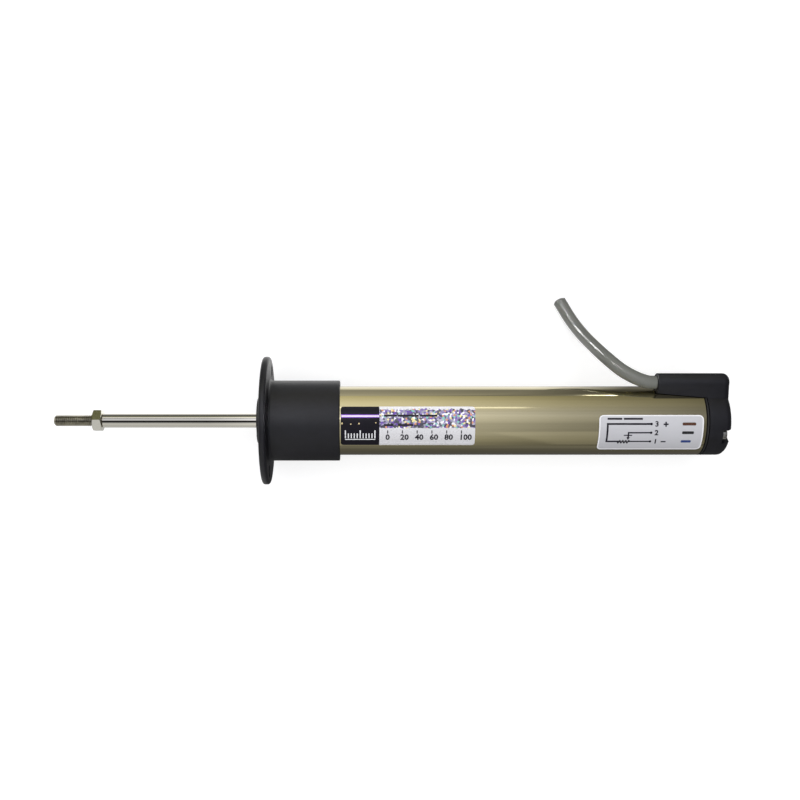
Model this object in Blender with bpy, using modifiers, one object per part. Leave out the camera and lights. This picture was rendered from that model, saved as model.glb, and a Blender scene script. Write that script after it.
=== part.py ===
"""Potentiometer position transducer with a pull rod, at mid-stroke.

The rod's axis is X, with the rod towards -X and the cable cap towards +X. The origin is on
that axis, in the front face of the mounting flange. Metres, +Z up.

The housing is turned about X so that the cap's cable block points along BLOCK_TURN. Inside
the housing's own empty the block is straight up, at local +Z.
"""

import math

import bmesh
import bpy
from mathutils import Matrix, Vector

MM = 0.001

# Gaps between pieces that touch on the real object
SEAT_GAP = 0.3 * MM
THREAD_GAP = 0.1 * MM
LABEL_GAP = 0.1 * MM
STOP_GAP = 0.7 * MM

# Facets on a full turn
ROUND_STEPS = 48
SMALL_STEPS = 32
TINY_STEPS = 16

# The stroke, and how far the housing is turned so that the block points up and aside
STROKE = 100.0 * MM
BLOCK_TURN = math.radians(-62.0)

# Pull rod
ROD_D = 5.0 * MM
THREAD_D = 4.0 * MM
THREAD_LENGTH = 16.9 * MM
THREAD_CHAMFER = 0.7 * MM
SHOULDER_OUT = 6.0 * MM
ROD_BORE_GAP = 0.3 * MM
ROD_CHAMFER = 0.4 * MM
SHOULDER_CHAMFER = 0.2 * MM

# Lock nut
NUT_FLATS = 7.0 * MM
NUT_THICK = 3.2 * MM
NUT_TURN = math.radians(25.0)
NUT_FACE_INSET = 0.1 * MM

# Mounting flange, with its boss in front and its neck behind
FLANGE_REACH = 8.3 * MM
FLANGE_THICK = 2.5 * MM
FLANGE_EDGE = 0.9 * MM
NECK_WALL = 1.7 * MM
NECK_END_X = 26.8 * MM
NECK_FILLET = 1.0 * MM
NECK_EDGE = 0.4 * MM
BOSS_D = 16.0 * MM
BOSS_RIM = 1.9 * MM
BOSS_DOME = 0.1 * MM
BOSS_EDGE = 0.2 * MM
FRONT_WALL = 8.0 * MM
NOSE_WALL = 2.0 * MM
NOSE_LENGTH = 6.0 * MM
HOLE_D = 4.5 * MM
HOLE_INSET = 4.05 * MM
HOLE_COUNT = 4

# Rod bush, wiper seal and flat seals
BUSH_WALL = 1.2 * MM
BUSH_LENGTH = 10.7 * MM
SEAL_WALL = 1.7 * MM
SEAL_DEPTH = 3.7 * MM
SEAL_LIP = 0.25 * MM
SEAL_EDGE = 0.3 * MM
BUSH_EDGE = 0.3 * MM
GASKET_THICK = 0.5 * MM
BUFFER_THICK = 2.0 * MM

# Tube extrusion, with its screw ports and the ledges that hold the element
TUBE_D = 24.0 * MM
TUBE_WALL = 1.4 * MM
PORT_INSET = 1.3 * MM
PORT_WALL = 0.65 * MM
LEDGE_THICK = 1.2 * MM
LEDGE_REACH = 1.1 * MM

# Screws that hold the flange and the cap on the tube
SCREW_D = 2.5 * MM
SCREW_LENGTH = 17.0 * MM
SCREW_HEAD_D = 4.5 * MM
SCREW_HEAD = 1.6 * MM
SCREW_HEAD_EDGE = 0.5 * MM
SPOT_FACE = 0.7 * MM
PORT_ANGLES = (90.0, 180.0, 270.0)

# Potentiometer element
STRIP_THICK = 1.5 * MM
STRIP_SIDE_GAP = 0.54 * MM
STRIP_BACK_ROOM = 2.5 * MM
TRACK_WIDTH = 3.2 * MM
TRACK_THICK = 0.15 * MM
TRACK_PITCH = 5.2 * MM
TRACK_END = 5.0 * MM
PIN_D = 0.8 * MM
PIN_PITCH = 2.5 * MM
PIN_LENGTH = 3.0 * MM
PIN_HEAD = 0.4 * MM
PIN_HEAD_REACH = 0.2 * MM
PIN_FROM_END = 2.5 * MM

# Carriage: the slider, its wiper and the snap rings on the rod
CARRIAGE_LENGTH = 14.0 * MM
SLIDER_GAP = 0.4 * MM
CONTACT_GAP = 0.55 * MM
FIN_GAP = 0.6 * MM
FIN_TIP_GAP = 0.45 * MM
FIN_INSET = 2.0 * MM
CLIP_WALL = 1.8 * MM
CLIP_THICK = 0.6 * MM
GROOVE_DEPTH = 0.5 * MM
ROD_TAIL = 1.5 * MM
SLIDER_EDGE = 0.5 * MM
WIPER_WIDTH = 8.4 * MM
WIPER_THICK = 0.2 * MM
WIPER_SLIT = 1.6 * MM
WIPER_RISE = 1.2 * MM
WIPER_INSET = 1.2 * MM
WIPER_PLATE = 5.0 * MM
WIPER_TIP_INSET = 2.0 * MM
WIPER_TOE = 2.0 * MM
WIPER_CURL = 0.3 * MM
SLIT_FROM_PLATE = 0.5 * MM
PRONG_FROM_PLATE = 2.0 * MM
PRONG_GAP = 0.5 * MM
RIVET_D = 1.0 * MM
RIVET_HEAD_D = 2.0 * MM
RIVET_LENGTH = 1.8 * MM
RIVET_PITCH = 4.6 * MM
RIVET_HEAD = 0.4 * MM

# Rear cap and its cable block
CAP_THICK = 7.8 * MM
CAP_EDGE = 2.2 * MM
CAP_NOSE_LENGTH = 16.9 * MM
CAP_NOSE_GAP = 1.1 * MM
PIN_ROOM = 2.2 * MM
SCALLOP_DEPTH = 3.1 * MM
BLOCK_WALL = 0.65 * MM
BLOCK_FLOOR = 0.3 * MM
BLOCK_LENGTH = 17.1 * MM
BLOCK_MOUTH_EDGE = 0.5 * MM
BLOCK_TUCK = 1.0 * MM
BLOCK_FLARE = 1.3 * MM
SADDLE_GAP = 0.2 * MM
POCKET_DEPTH = 4.2 * MM

# Cable and its three wires
CABLE_D = 4.6 * MM
CABLE_GAP = 0.2 * MM
CABLE_INSIDE = 15.0 * MM
WIRE_D = 1.1 * MM
WIRE_PITCH = 1.4 * MM

# The free cable's route beyond the block's mouth, in world millimetres, chosen by hand
CABLE_ROUTE_MM = (
    (131.9, 13.55, 7.1),
    (127.85, 15.1, 6.6),
    (123.8, 17.7, 5.1),
    (120.2, 21.4, 1.7),
    (117.1, 26.0, -5.2),
    (114.3, 31.1, -13.0),
    (111.3, 36.8, -18.4),
    (107.4, 43.7, -19.9),
)

# Labels stuck on the tube: where they start, and the angle of each one's upper edge from +Z
LABEL_HEIGHT = 13.8 * MM
LABEL_THICK = 0.2 * MM
FRONT_LABEL_CORNER = 1.0 * MM
FRONT_LABEL_X = 27.15 * MM
FRONT_LABEL_LENGTH = 45.55 * MM
FRONT_LABEL_TOP = math.radians(23.7)
WIRING_LABEL_FROM_END = 36.6 * MM
WIRING_LABEL_LENGTH = 35.4 * MM
WIRING_LABEL_TOP = math.radians(9.8)
WIRING_LABEL_CORNER = 1.5 * MM

# Places along the axis, each from the one before it
NOSE_END_X = FRONT_WALL + NOSE_LENGTH
FRONT_BUFFER_X = NOSE_END_X + SEAT_GAP
TUBE_FRONT_X = FRONT_WALL + GASKET_THICK + 2 * SEAT_GAP
CARRIAGE_OUT_X = FRONT_BUFFER_X + BUFFER_THICK + STOP_GAP
CARRIAGE_X = CARRIAGE_OUT_X + STROKE / 2
REAR_BUFFER_X = CARRIAGE_OUT_X + STROKE + CARRIAGE_LENGTH + ROD_TAIL + STOP_GAP
CAP_NOSE_X = REAR_BUFFER_X + BUFFER_THICK + SEAT_GAP
CAP_SEAT_X = CAP_NOSE_X + CAP_NOSE_LENGTH
TUBE_REAR_X = CAP_SEAT_X - GASKET_THICK - 2 * SEAT_GAP
CAP_REAR_X = CAP_SEAT_X + CAP_THICK
ROD_SHOULDER_X = -(STROKE / 2 + SHOULDER_OUT)
ROD_TIP_X = ROD_SHOULDER_X - THREAD_LENGTH
ROD_REAR_X = CARRIAGE_X + CARRIAGE_LENGTH + ROD_TAIL
STRIP_FRONT_X = CARRIAGE_OUT_X + SEAT_GAP
STRIP_REAR_X = CAP_NOSE_X + 2 * PIN_FROM_END
PIN_X = STRIP_REAR_X - PIN_FROM_END
BLOCK_MOUTH_X = CAP_SEAT_X - BLOCK_LENGTH
CABLE_END_X = BLOCK_MOUTH_X + CABLE_INSIDE

# Radii and heights that follow from the sizes above
ROD_BORE = ROD_D / 2 + ROD_BORE_GAP
CLIP_D = ROD_D + 2 * CLIP_WALL
TUBE_BORE = TUBE_D / 2 - TUBE_WALL
SOCKET_RADIUS = TUBE_D / 2 + SEAT_GAP
NECK_D = 2 * (SOCKET_RADIUS + NECK_WALL)
FLANGE_D = NECK_D + 2 * FLANGE_REACH
HOLE_CIRCLE_D = FLANGE_D - 2 * HOLE_INSET
SCREW_BORE = SCREW_D / 2 + SEAT_GAP
PORT_RADIUS = TUBE_BORE - PORT_INSET
PORT_OUTER = SCREW_BORE + PORT_WALL
BUSH_RADIUS = ROD_BORE + BUSH_WALL
BUSH_POCKET = BUSH_RADIUS + SEAT_GAP
SEAL_RADIUS = ROD_BORE + SEAL_WALL
SEAL_POCKET = SEAL_RADIUS + SEAT_GAP
NOSE_RADIUS = BUSH_POCKET + NOSE_WALL
GASKET_BORE = PORT_RADIUS - PORT_OUTER
STRIP_TOP = TUBE_BORE - STRIP_BACK_ROOM
STRIP_Z = STRIP_TOP - STRIP_THICK
STRIP_WIDTH = 2 * (math.sqrt(TUBE_BORE**2 - STRIP_TOP**2) - STRIP_SIDE_GAP)
TRACK_Z = STRIP_Z - LABEL_GAP - TRACK_THICK
SLIDER_RADIUS = GASKET_BORE - SLIDER_GAP
SLIDER_TOP = TRACK_Z - CONTACT_GAP - WIPER_RISE - SEAT_GAP
FIN_LOW = PORT_OUTER + FIN_GAP
FIN_REACH = math.sqrt((TUBE_BORE - FIN_TIP_GAP) ** 2 - SLIDER_TOP**2)
CAP_NOSE_D = 2 * (GASKET_BORE - CAP_NOSE_GAP)
CAP_NOSE_TOP = STRIP_Z - PIN_ROOM
CABLE_BORE = CABLE_D / 2 + CABLE_GAP
BLOCK_RADIUS = CABLE_BORE + BLOCK_WALL
BLOCK_HEIGHT = TUBE_D / 2 + SADDLE_GAP + BLOCK_FLOOR + CABLE_BORE
BLOCK_FOOT = BLOCK_RADIUS + BLOCK_FLARE
BLOCK_LOW = math.sqrt((TUBE_D / 2) ** 2 - BLOCK_FOOT**2)
POCKET_LOW = GASKET_BORE - SEAT_GAP
POCKET_WIDTH = 2 * CABLE_BORE


def material(name, color, roughness, metallic=0.0):
    made = bpy.data.materials.new(name)
    made.use_nodes = True
    made.diffuse_color = (*color, 1.0)
    shader = made.node_tree.nodes["Principled BSDF"]
    shader.inputs["Base Color"].default_value = (*color, 1.0)
    shader.inputs["Roughness"].default_value = roughness
    shader.inputs["Metallic"].default_value = metallic
    return made


def clear_scene():
    for obj in list(bpy.data.objects):
        bpy.data.objects.remove(obj, do_unlink=True)


def new_collection(name):
    collection = bpy.data.collections.new(name)
    bpy.context.scene.collection.children.link(collection)
    return collection


def new_empty(name, parent=None):
    empty = bpy.data.objects.new(name, None)
    PARTS.objects.link(empty)
    empty.parent = parent
    return empty


def mesh_object(name, bm, finish, parent):
    """A piece from a bmesh, which is freed."""
    mesh = bpy.data.meshes.new(name)
    bm.to_mesh(mesh)
    bm.free()
    obj = bpy.data.objects.new(name, mesh)
    obj.parent = parent
    if finish is None:
        CUTTERS.objects.link(obj)
        obj.hide_render = True
        obj.display_type = "WIRE"
        return obj
    PARTS.objects.link(obj)
    mesh.materials.append(finish)
    return obj


def polyline(points):
    """An open or closed outline of edges in the XZ plane; a closed one repeats its first point."""
    bm = bmesh.new()
    closed = points[0] == points[-1]
    verts = [bm.verts.new((x, 0.0, z)) for x, z in (points[:-1] if closed else points)]
    for start, end in zip(verts, verts[1:]):
        bm.edges.new((start, end))
    if closed:
        bm.edges.new((verts[-1], verts[0]))
    return bm


def turned(name, points, finish, parent, steps=ROUND_STEPS):
    """A piece turned about X, from (x, radius) points that run down its outer side to +X."""
    obj = mesh_object(name, polyline(points), finish, parent)
    screw = obj.modifiers.new("turn", "SCREW")
    screw.axis = "X"
    screw.steps = steps
    screw.render_steps = steps
    screw.use_merge_vertices = True
    screw.merge_threshold = 0.01 * MM
    screw.use_smooth_shade = True
    screw.use_normal_flip = True
    return obj


def ring(name, x, length, inner, outer, finish, parent, steps=ROUND_STEPS):
    """A plain washer or sleeve."""
    points = [(x, inner), (x, outer), (x + length, outer), (x + length, inner), (x, inner)]
    return turned(name, points, finish, parent, steps)


def arc(x, radius, size, start, end, count=3):
    """(x, radius) points of a fillet, from one angle to another in degrees."""
    angles = [math.radians(start + (end - start) * i / count) for i in range(count + 1)]
    return [(x + size * math.cos(a), radius + size * math.sin(a)) for a in angles]


def round_bar(name, x, length, radius, place, finish=None, parent=None, steps=SMALL_STEPS):
    """A cylinder along X, at (y, z)."""
    bm = bmesh.new()
    turn = Matrix.Rotation(math.pi / 2, 4, "Y")
    bmesh.ops.create_cone(
        bm,
        cap_ends=True,
        segments=steps,
        radius1=radius,
        radius2=radius,
        depth=length,
        matrix=Matrix.Translation((x + length / 2, *place)) @ turn,
    )
    return mesh_object(name, bm, finish, parent)


def upright_bar(name, x, y, low, high, radius, finish=None, parent=None):
    """A cylinder along the housing's Z."""
    bm = bmesh.new()
    bmesh.ops.create_cone(
        bm,
        cap_ends=True,
        segments=TINY_STEPS,
        radius1=radius,
        radius2=radius,
        depth=high - low,
        matrix=Matrix.Translation((x, y, (low + high) / 2)),
    )
    return mesh_object(name, bm, finish, parent)


def block(name, low, high, finish=None, parent=None):
    """A box between two corners."""
    bm = bmesh.new()
    size = Vector(high) - Vector(low)
    middle = (Vector(high) + Vector(low)) / 2
    place = Matrix.Translation(middle) @ Matrix.Diagonal((*size, 1.0))
    bmesh.ops.create_cube(bm, size=1.0, matrix=place)
    return mesh_object(name, bm, finish, parent)


def lofted(name, sections, finish=None, parent=None, rear_edge=0.0, front_edge=0.0):
    """A solid along X through sections (x, outline of (y, z) points), with rounded end edges."""
    bm = bmesh.new()
    rows = [[bm.verts.new((x, y, z)) for y, z in outline] for x, outline in sections]
    bm.faces.new(rows[0])
    bm.faces.new(rows[-1])
    for near, far in zip(rows, rows[1:]):
        for i, corner in enumerate(near):
            bm.faces.new((corner, near[i - 1], far[i - 1], far[i]))
    bmesh.ops.recalc_face_normals(bm, faces=bm.faces)
    for end, size in ((sections[-1][0], rear_edge), (sections[0][0], front_edge)):
        if size:
            rim = [e for e in bm.edges if all(abs(v.co.x - end) < 1e-7 for v in e.verts)]
            bmesh.ops.bevel(
                bm, geom=rim, offset=size, segments=5, profile=0.5, affect="EDGES", material=-1
            )
    bmesh.ops.connect_verts_nonplanar(bm, angle_limit=math.radians(0.1), faces=bm.faces)
    return mesh_object(name, bm, finish, parent)


def boolean(obj, tool, operation):
    change = obj.modifiers.new(tool.name, "BOOLEAN")
    change.operation = operation
    change.object = tool
    change.solver = "EXACT"


def cut(obj, *tools):
    for tool in tools:
        boolean(obj, tool, "DIFFERENCE")


def join(obj, *tools):
    for tool in tools:
        boolean(obj, tool, "UNION")


def around(radius, angle):
    """(y, z) at an angle in degrees from the block's side, turning towards +Y."""
    turn = math.radians(angle)
    return radius * math.sin(turn), radius * math.cos(turn)


def tube_wire(name, points, diameter, finish, parent):
    """A round cord along a list of points."""
    curve = bpy.data.curves.new(name, "CURVE")
    curve.dimensions = "3D"
    curve.bevel_depth = diameter / 2
    curve.bevel_resolution = 2
    curve.use_fill_caps = True
    spline = curve.splines.new("POLY")
    spline.points.add(len(points) - 1)
    for point, place in zip(spline.points, points):
        point.co = (*place, 1.0)
    curve.materials.append(finish)
    obj = bpy.data.objects.new(name, curve)
    PARTS.objects.link(obj)
    obj.parent = parent
    return obj


def smooth_curve(route, step):
    """Points about a step apart on a Catmull-Rom curve through the route."""
    route = [Vector(point) for point in route]
    ends = [2 * route[0] - route[1], *route, 2 * route[-1] - route[-2]]
    found = [route[0]]
    for before, start, end, after in zip(ends, ends[1:], ends[2:], ends[3:]):
        count = max(1, round((end - start).length / step))
        for i in range(1, count + 1):
            t = i / count
            found.append(
                (
                    2 * start
                    + (end - before) * t
                    + (2 * before - 5 * start + 4 * end - after) * t**2
                    + (3 * start - before - 3 * end + after) * t**3
                )
                / 2
            )
    return found


def screw_piece(name, head_x, direction, angle, parent):
    """A pan-head screw whose head seats at head_x and whose shank runs along direction."""
    head = SCREW_HEAD_D / 2
    shank = SCREW_D / 2
    tip = SCREW_LENGTH
    points = [(-SCREW_HEAD, 0.0), (-SCREW_HEAD, head - SCREW_HEAD_EDGE)]
    points += [(-SCREW_HEAD + SCREW_HEAD_EDGE, head)]
    points += [(0.0, head), (0.0, shank), (tip - shank / 2, shank), (tip, shank / 2), (tip, 0.0)]
    obj = turned(name, points, METAL_SCREW, parent, TINY_STEPS)
    y, z = around(PORT_RADIUS, angle)
    obj.location = (head_x, y, z)
    if direction < 0:
        obj.rotation_euler = (0.0, 0.0, math.pi)
    return obj


def make_flange(frame):
    rim = FLANGE_D / 2 - FLANGE_EDGE
    back = FLANGE_THICK
    boss = BOSS_D / 2
    dome = [
        (-BOSS_RIM - BOSS_DOME * (1 - (radius / boss) ** 2), radius)
        for radius in (SEAL_POCKET, (SEAL_POCKET + boss) / 2)
    ]
    seal_floor = dome[0][0] + SEAL_DEPTH + SEAT_GAP
    bush_floor = NOSE_END_X - BUSH_LENGTH - SEAT_GAP
    neck = NECK_D / 2
    points = [*dome, (-BOSS_RIM, boss - BOSS_EDGE), (-BOSS_RIM + BOSS_EDGE, boss), (0.0, boss)]
    points += arc(FLANGE_EDGE, rim, FLANGE_EDGE, 180, 90)
    points += arc(back - FLANGE_EDGE, rim, FLANGE_EDGE, 90, 0)
    points += arc(back + NECK_FILLET, neck + NECK_FILLET, NECK_FILLET, 180, 270)
    points += arc(NECK_END_X - NECK_EDGE, neck - NECK_EDGE, NECK_EDGE, 90, 0, 2)
    points += [
        (NECK_END_X, SOCKET_RADIUS),
        (FRONT_WALL, SOCKET_RADIUS),
        (FRONT_WALL, NOSE_RADIUS),
        (NOSE_END_X, NOSE_RADIUS),
        (NOSE_END_X, BUSH_POCKET),
        (bush_floor, BUSH_POCKET),
        (bush_floor, ROD_BORE),
        (seal_floor, ROD_BORE),
        (seal_floor, SEAL_POCKET),
        dome[0],
    ]
    flange = turned("front_flange", points, BLACK_PLASTIC, frame)
    for i in range(HOLE_COUNT):
        place = around(HOLE_CIRCLE_D / 2, 45 + 360 * i / HOLE_COUNT)
        bar = round_bar(f"cut_flange_hole_{i}", -MM, back + 2 * MM, HOLE_D / 2, place, None, frame)
        cut(flange, bar)
    for i, angle in enumerate(PORT_ANGLES):
        place = around(PORT_RADIUS, angle)
        through = round_bar(
            f"cut_front_screw_{i}", -MM, FRONT_WALL + 2 * MM, SCREW_BORE, place, None, frame, TINY_STEPS
        )
        scallop = SCREW_HEAD_D / 2 + SEAT_GAP
        seat = round_bar(
            f"cut_front_seat_{i}", dome[0][0] - MM, SPOT_FACE + MM - dome[0][0], scallop, place, None, frame
        )
        cut(flange, through, seat)
        screw_piece(f"front_screw_{i + 1}", SPOT_FACE - SEAT_GAP, 1, angle, frame)
    return flange


def make_front_fittings(frame):
    bush_x = NOSE_END_X - BUSH_LENGTH
    end = NOSE_END_X
    points = [(bush_x, ROD_BORE), (bush_x, BUSH_RADIUS - BUSH_EDGE)]
    points += [(bush_x + BUSH_EDGE, BUSH_RADIUS), (end - BUSH_EDGE, BUSH_RADIUS)]
    points += [(end, BUSH_RADIUS - BUSH_EDGE), (end, ROD_BORE)]
    turned("rod_bush", [*points, points[0]], BRONZE, frame, SMALL_STEPS)
    mouth = -BOSS_RIM - BOSS_DOME
    floor = mouth + SEAL_DEPTH
    points = [(mouth - SEAL_LIP, ROD_BORE), (mouth - SEAL_LIP, ROD_BORE + SEAL_EDGE)]
    points += [(mouth + SEAL_LIP, SEAL_RADIUS - SEAL_EDGE)]
    points += [(mouth + SEAL_LIP + SEAL_EDGE, SEAL_RADIUS)]
    points += [(floor, SEAL_RADIUS), (floor, ROD_BORE)]
    turned("wiper_seal", [*points, points[0]], RUBBER, frame, SMALL_STEPS)
    gasket = ring(
        "front_gasket", FRONT_WALL + SEAT_GAP, GASKET_THICK, GASKET_BORE, TUBE_D / 2, RUBBER, frame
    )
    for i, angle in enumerate(PORT_ANGLES):
        place = around(PORT_RADIUS, angle)
        cut(
            gasket,
            round_bar(
                f"cut_front_gasket_{i}", FRONT_WALL, TUBE_FRONT_X - FRONT_WALL, SCREW_BORE, place,
                None, frame, TINY_STEPS,
            ),
        )
    ring("front_buffer", FRONT_BUFFER_X, BUFFER_THICK, ROD_BORE, NOSE_RADIUS, RUBBER, frame, SMALL_STEPS)


def make_tube(frame):
    """The extrusion: a cylinder less its inner void, which leaves the ports and ledges standing."""
    length = TUBE_REAR_X - TUBE_FRONT_X
    before = TUBE_FRONT_X - MM
    through = length + 2 * MM
    tube = round_bar(
        "tube_housing", TUBE_FRONT_X, length, TUBE_D / 2, (0.0, 0.0), GOLD_ALUMINIUM, frame, ROUND_STEPS
    )
    void = round_bar("cut_tube_void", before, through, TUBE_BORE, (0.0, 0.0), None, frame, ROUND_STEPS)
    port = SCREW_BORE + PORT_WALL
    for i, angle in enumerate(PORT_ANGLES):
        place = around(PORT_RADIUS, angle)
        cut(void, round_bar(f"port_{i}", before - MM, through + 2 * MM, port, place, None, frame))
    strip_edge = STRIP_WIDTH / 2
    for side in (-1, 1):
        inner = side * (strip_edge - LEDGE_REACH)
        outer = side * TUBE_D / 2
        y0, y1 = sorted((inner, outer))
        low = STRIP_Z - SEAT_GAP - LEDGE_THICK
        cut(void, block(f"ledge_low_{side}", (before - MM, y0, low),
                        (before + through + MM, y1, STRIP_Z - SEAT_GAP), None, frame))
        high = STRIP_TOP + SEAT_GAP
        cut(void, block(f"ledge_high_{side}", (before - MM, y0, high),
                        (before + through + MM, y1, high + LEDGE_THICK), None, frame))
    cut(tube, void)
    for i, angle in enumerate(PORT_ANGLES):
        place = around(PORT_RADIUS, angle)
        cut(tube, round_bar(f"cut_port_{i}", before, through, SCREW_BORE, place, None, frame, TINY_STEPS))
    return tube


def make_element(frame):
    half = STRIP_WIDTH / 2
    strip = block(
        "element_strip",
        (STRIP_FRONT_X, -half, STRIP_Z),
        (STRIP_REAR_X, half, STRIP_TOP),
        BOARD,
        frame,
    )
    for name, side, finish in (("resistive_track", 1, CARBON), ("collector_track", -1, SILVER)):
        middle = side * TRACK_PITCH / 2
        block(
            name,
            (STRIP_FRONT_X + TRACK_END, middle - TRACK_WIDTH / 2, TRACK_Z),
            (CAP_NOSE_X - SEAT_GAP, middle + TRACK_WIDTH / 2, TRACK_Z + TRACK_THICK),
            finish,
            frame,
        )
    low = STRIP_Z - SEAT_GAP
    for i in range(3):
        y = (i - 1) * PIN_PITCH
        bore = PIN_D / 2 + SEAT_GAP
        cut(strip, upright_bar(f"cut_pin_{i}", PIN_X, y, low, low + 4 * MM, bore, None, frame))
        pin = turned(
            f"terminal_pin_{i + 1}",
            [(0.0, 0.0), (0.0, bore + PIN_HEAD_REACH), (PIN_HEAD, bore + PIN_HEAD_REACH),
             (PIN_HEAD, PIN_D / 2), (PIN_LENGTH, PIN_D / 2), (PIN_LENGTH, 0.0)],
            BRASS,
            frame,
            TINY_STEPS,
        )
        pin.location = (PIN_X, y, low - PIN_HEAD)
        pin.rotation_euler = (0.0, -math.pi / 2, 0.0)


def block_outline(foot, count=16):
    """(y, z) points of the cable block's section: a half-round top and sides down to a foot."""
    turns = [math.pi * i / count for i in range(count + 1)]
    top = [(BLOCK_RADIUS * math.cos(a), BLOCK_HEIGHT + BLOCK_RADIUS * math.sin(a)) for a in turns]
    return [(foot, BLOCK_LOW), *top, (-foot, BLOCK_LOW)]


def cap_outline():
    """(y, z) points of the cap's rear view: the round body with the block standing on it."""
    radius = TUBE_D / 2
    meet = math.asin(BLOCK_FOOT / radius)
    steps = ROUND_STEPS - 4
    turns = [meet + (2 * math.pi - 2 * meet) * i / steps for i in range(steps + 1)]
    body = [(radius * math.sin(a), radius * math.cos(a)) for a in turns]
    return [*body, *block_outline(BLOCK_FOOT)[-2:0:-1]]


def scallop(name, angle, frame):
    """A screw's recess in the cap, open at the side."""
    size = SCREW_HEAD_D / 2 + SEAT_GAP
    turns = [math.pi * i / 12 for i in range(13)]
    outline = [(size * math.cos(a), PORT_RADIUS - size * math.sin(a)) for a in turns]
    outline += [(-size, TUBE_D / 2 + MM), (size, TUBE_D / 2 + MM)]
    turn = Matrix.Rotation(math.radians(-angle), 3, "X")
    turned_outline = [tuple((turn @ Vector((0.0, y, z))).yz) for y, z in outline]
    ends = (CAP_REAR_X - SCALLOP_DEPTH, CAP_REAR_X + MM)
    return lofted(name, [(x, turned_outline) for x in ends], None, frame)


def make_cap(frame):
    """One moulding: the round cap, its inner nose and the block that the cable comes out of."""
    sections = [(x, cap_outline()) for x in (CAP_SEAT_X, CAP_REAR_X)]
    cap = lofted("rear_cap", sections, BLACK_PLASTIC, frame, CAP_EDGE)
    feet = (
        (BLOCK_MOUTH_X, BLOCK_RADIUS - BLOCK_TUCK),
        (CAP_SEAT_X, BLOCK_FOOT),
        (CAP_SEAT_X + MM, BLOCK_FOOT),
    )
    sections = [(x, block_outline(foot)) for x, foot in feet]
    arm = lofted("cap_arm", sections, None, frame, 0.0, BLOCK_MOUTH_EDGE)
    saddle = round_bar(
        "cut_saddle", BLOCK_MOUTH_X - MM, BLOCK_LENGTH + MM, TUBE_D / 2 + SADDLE_GAP, (0.0, 0.0),
        None, frame, ROUND_STEPS,
    )
    cut(arm, saddle)
    nose = round_bar(
        "cap_nose", CAP_NOSE_X, CAP_NOSE_LENGTH + MM, CAP_NOSE_D / 2, (0.0, 0.0), None, frame
    )
    trim = block(
        "cut_nose_top", (CAP_NOSE_X - MM, -CAP_NOSE_D, CAP_NOSE_TOP),
        (CAP_SEAT_X, CAP_NOSE_D, CAP_NOSE_D), None, frame,
    )
    cut(nose, trim)
    join(cap, arm, nose)
    pocket_end = CAP_SEAT_X + POCKET_DEPTH
    bore = round_bar(
        "cut_cable_bore", BLOCK_MOUTH_X - MM, pocket_end - BLOCK_MOUTH_X + MM, CABLE_BORE,
        (0.0, BLOCK_HEIGHT), None, frame,
    )
    pocket = block(
        "cut_wire_pocket", (CAP_SEAT_X - MM, -POCKET_WIDTH / 2, POCKET_LOW),
        (pocket_end, POCKET_WIDTH / 2, TUBE_D / 2 - SEAT_GAP), None, frame,
    )
    way_up = block(
        "cut_wire_way", (CAP_SEAT_X + MM, -POCKET_WIDTH / 2, POCKET_LOW),
        (pocket_end, POCKET_WIDTH / 2, BLOCK_HEIGHT), None, frame,
    )
    cut(cap, bore, pocket, way_up)
    for i, angle in enumerate(PORT_ANGLES):
        through = round_bar(
            f"cut_rear_screw_{i}", CAP_SEAT_X - MM, CAP_THICK, SCREW_BORE, around(PORT_RADIUS, angle),
            None, frame, TINY_STEPS,
        )
        cut(cap, scallop(f"cut_scallop_{i}", angle, frame), through)
        seat = CAP_REAR_X - SCALLOP_DEPTH + SEAT_GAP
        screw_piece(f"rear_screw_{i + 1}", seat, -1, angle, frame)
    return cap


def make_rear_fittings(frame):
    gasket_x = TUBE_REAR_X + SEAT_GAP
    gasket = ring("rear_gasket", gasket_x, GASKET_THICK, GASKET_BORE, TUBE_D / 2, RUBBER, frame)
    for i, angle in enumerate(PORT_ANGLES):
        place = around(PORT_RADIUS, angle)
        cut(
            gasket,
            round_bar(
                f"cut_rear_gasket_{i}", TUBE_REAR_X, CAP_SEAT_X - TUBE_REAR_X, SCREW_BORE, place,
                None, frame, TINY_STEPS,
            ),
        )
    notch = block(
        "cut_gasket_notch", (TUBE_REAR_X, -POCKET_WIDTH / 2, 0.0),
        (CAP_SEAT_X, POCKET_WIDTH / 2, TUBE_BORE - SEAT_GAP), None, frame,
    )
    cut(gasket, notch)
    buffer = round_bar(
        "rear_buffer", REAR_BUFFER_X, BUFFER_THICK, CAP_NOSE_D / 2, (0.0, 0.0), RUBBER, frame
    )
    trim = block(
        "cut_buffer_top", (REAR_BUFFER_X - MM, -CAP_NOSE_D, CAP_NOSE_TOP),
        (REAR_BUFFER_X + BUFFER_THICK + MM, CAP_NOSE_D, CAP_NOSE_D), None, frame,
    )
    cut(buffer, trim)


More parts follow.
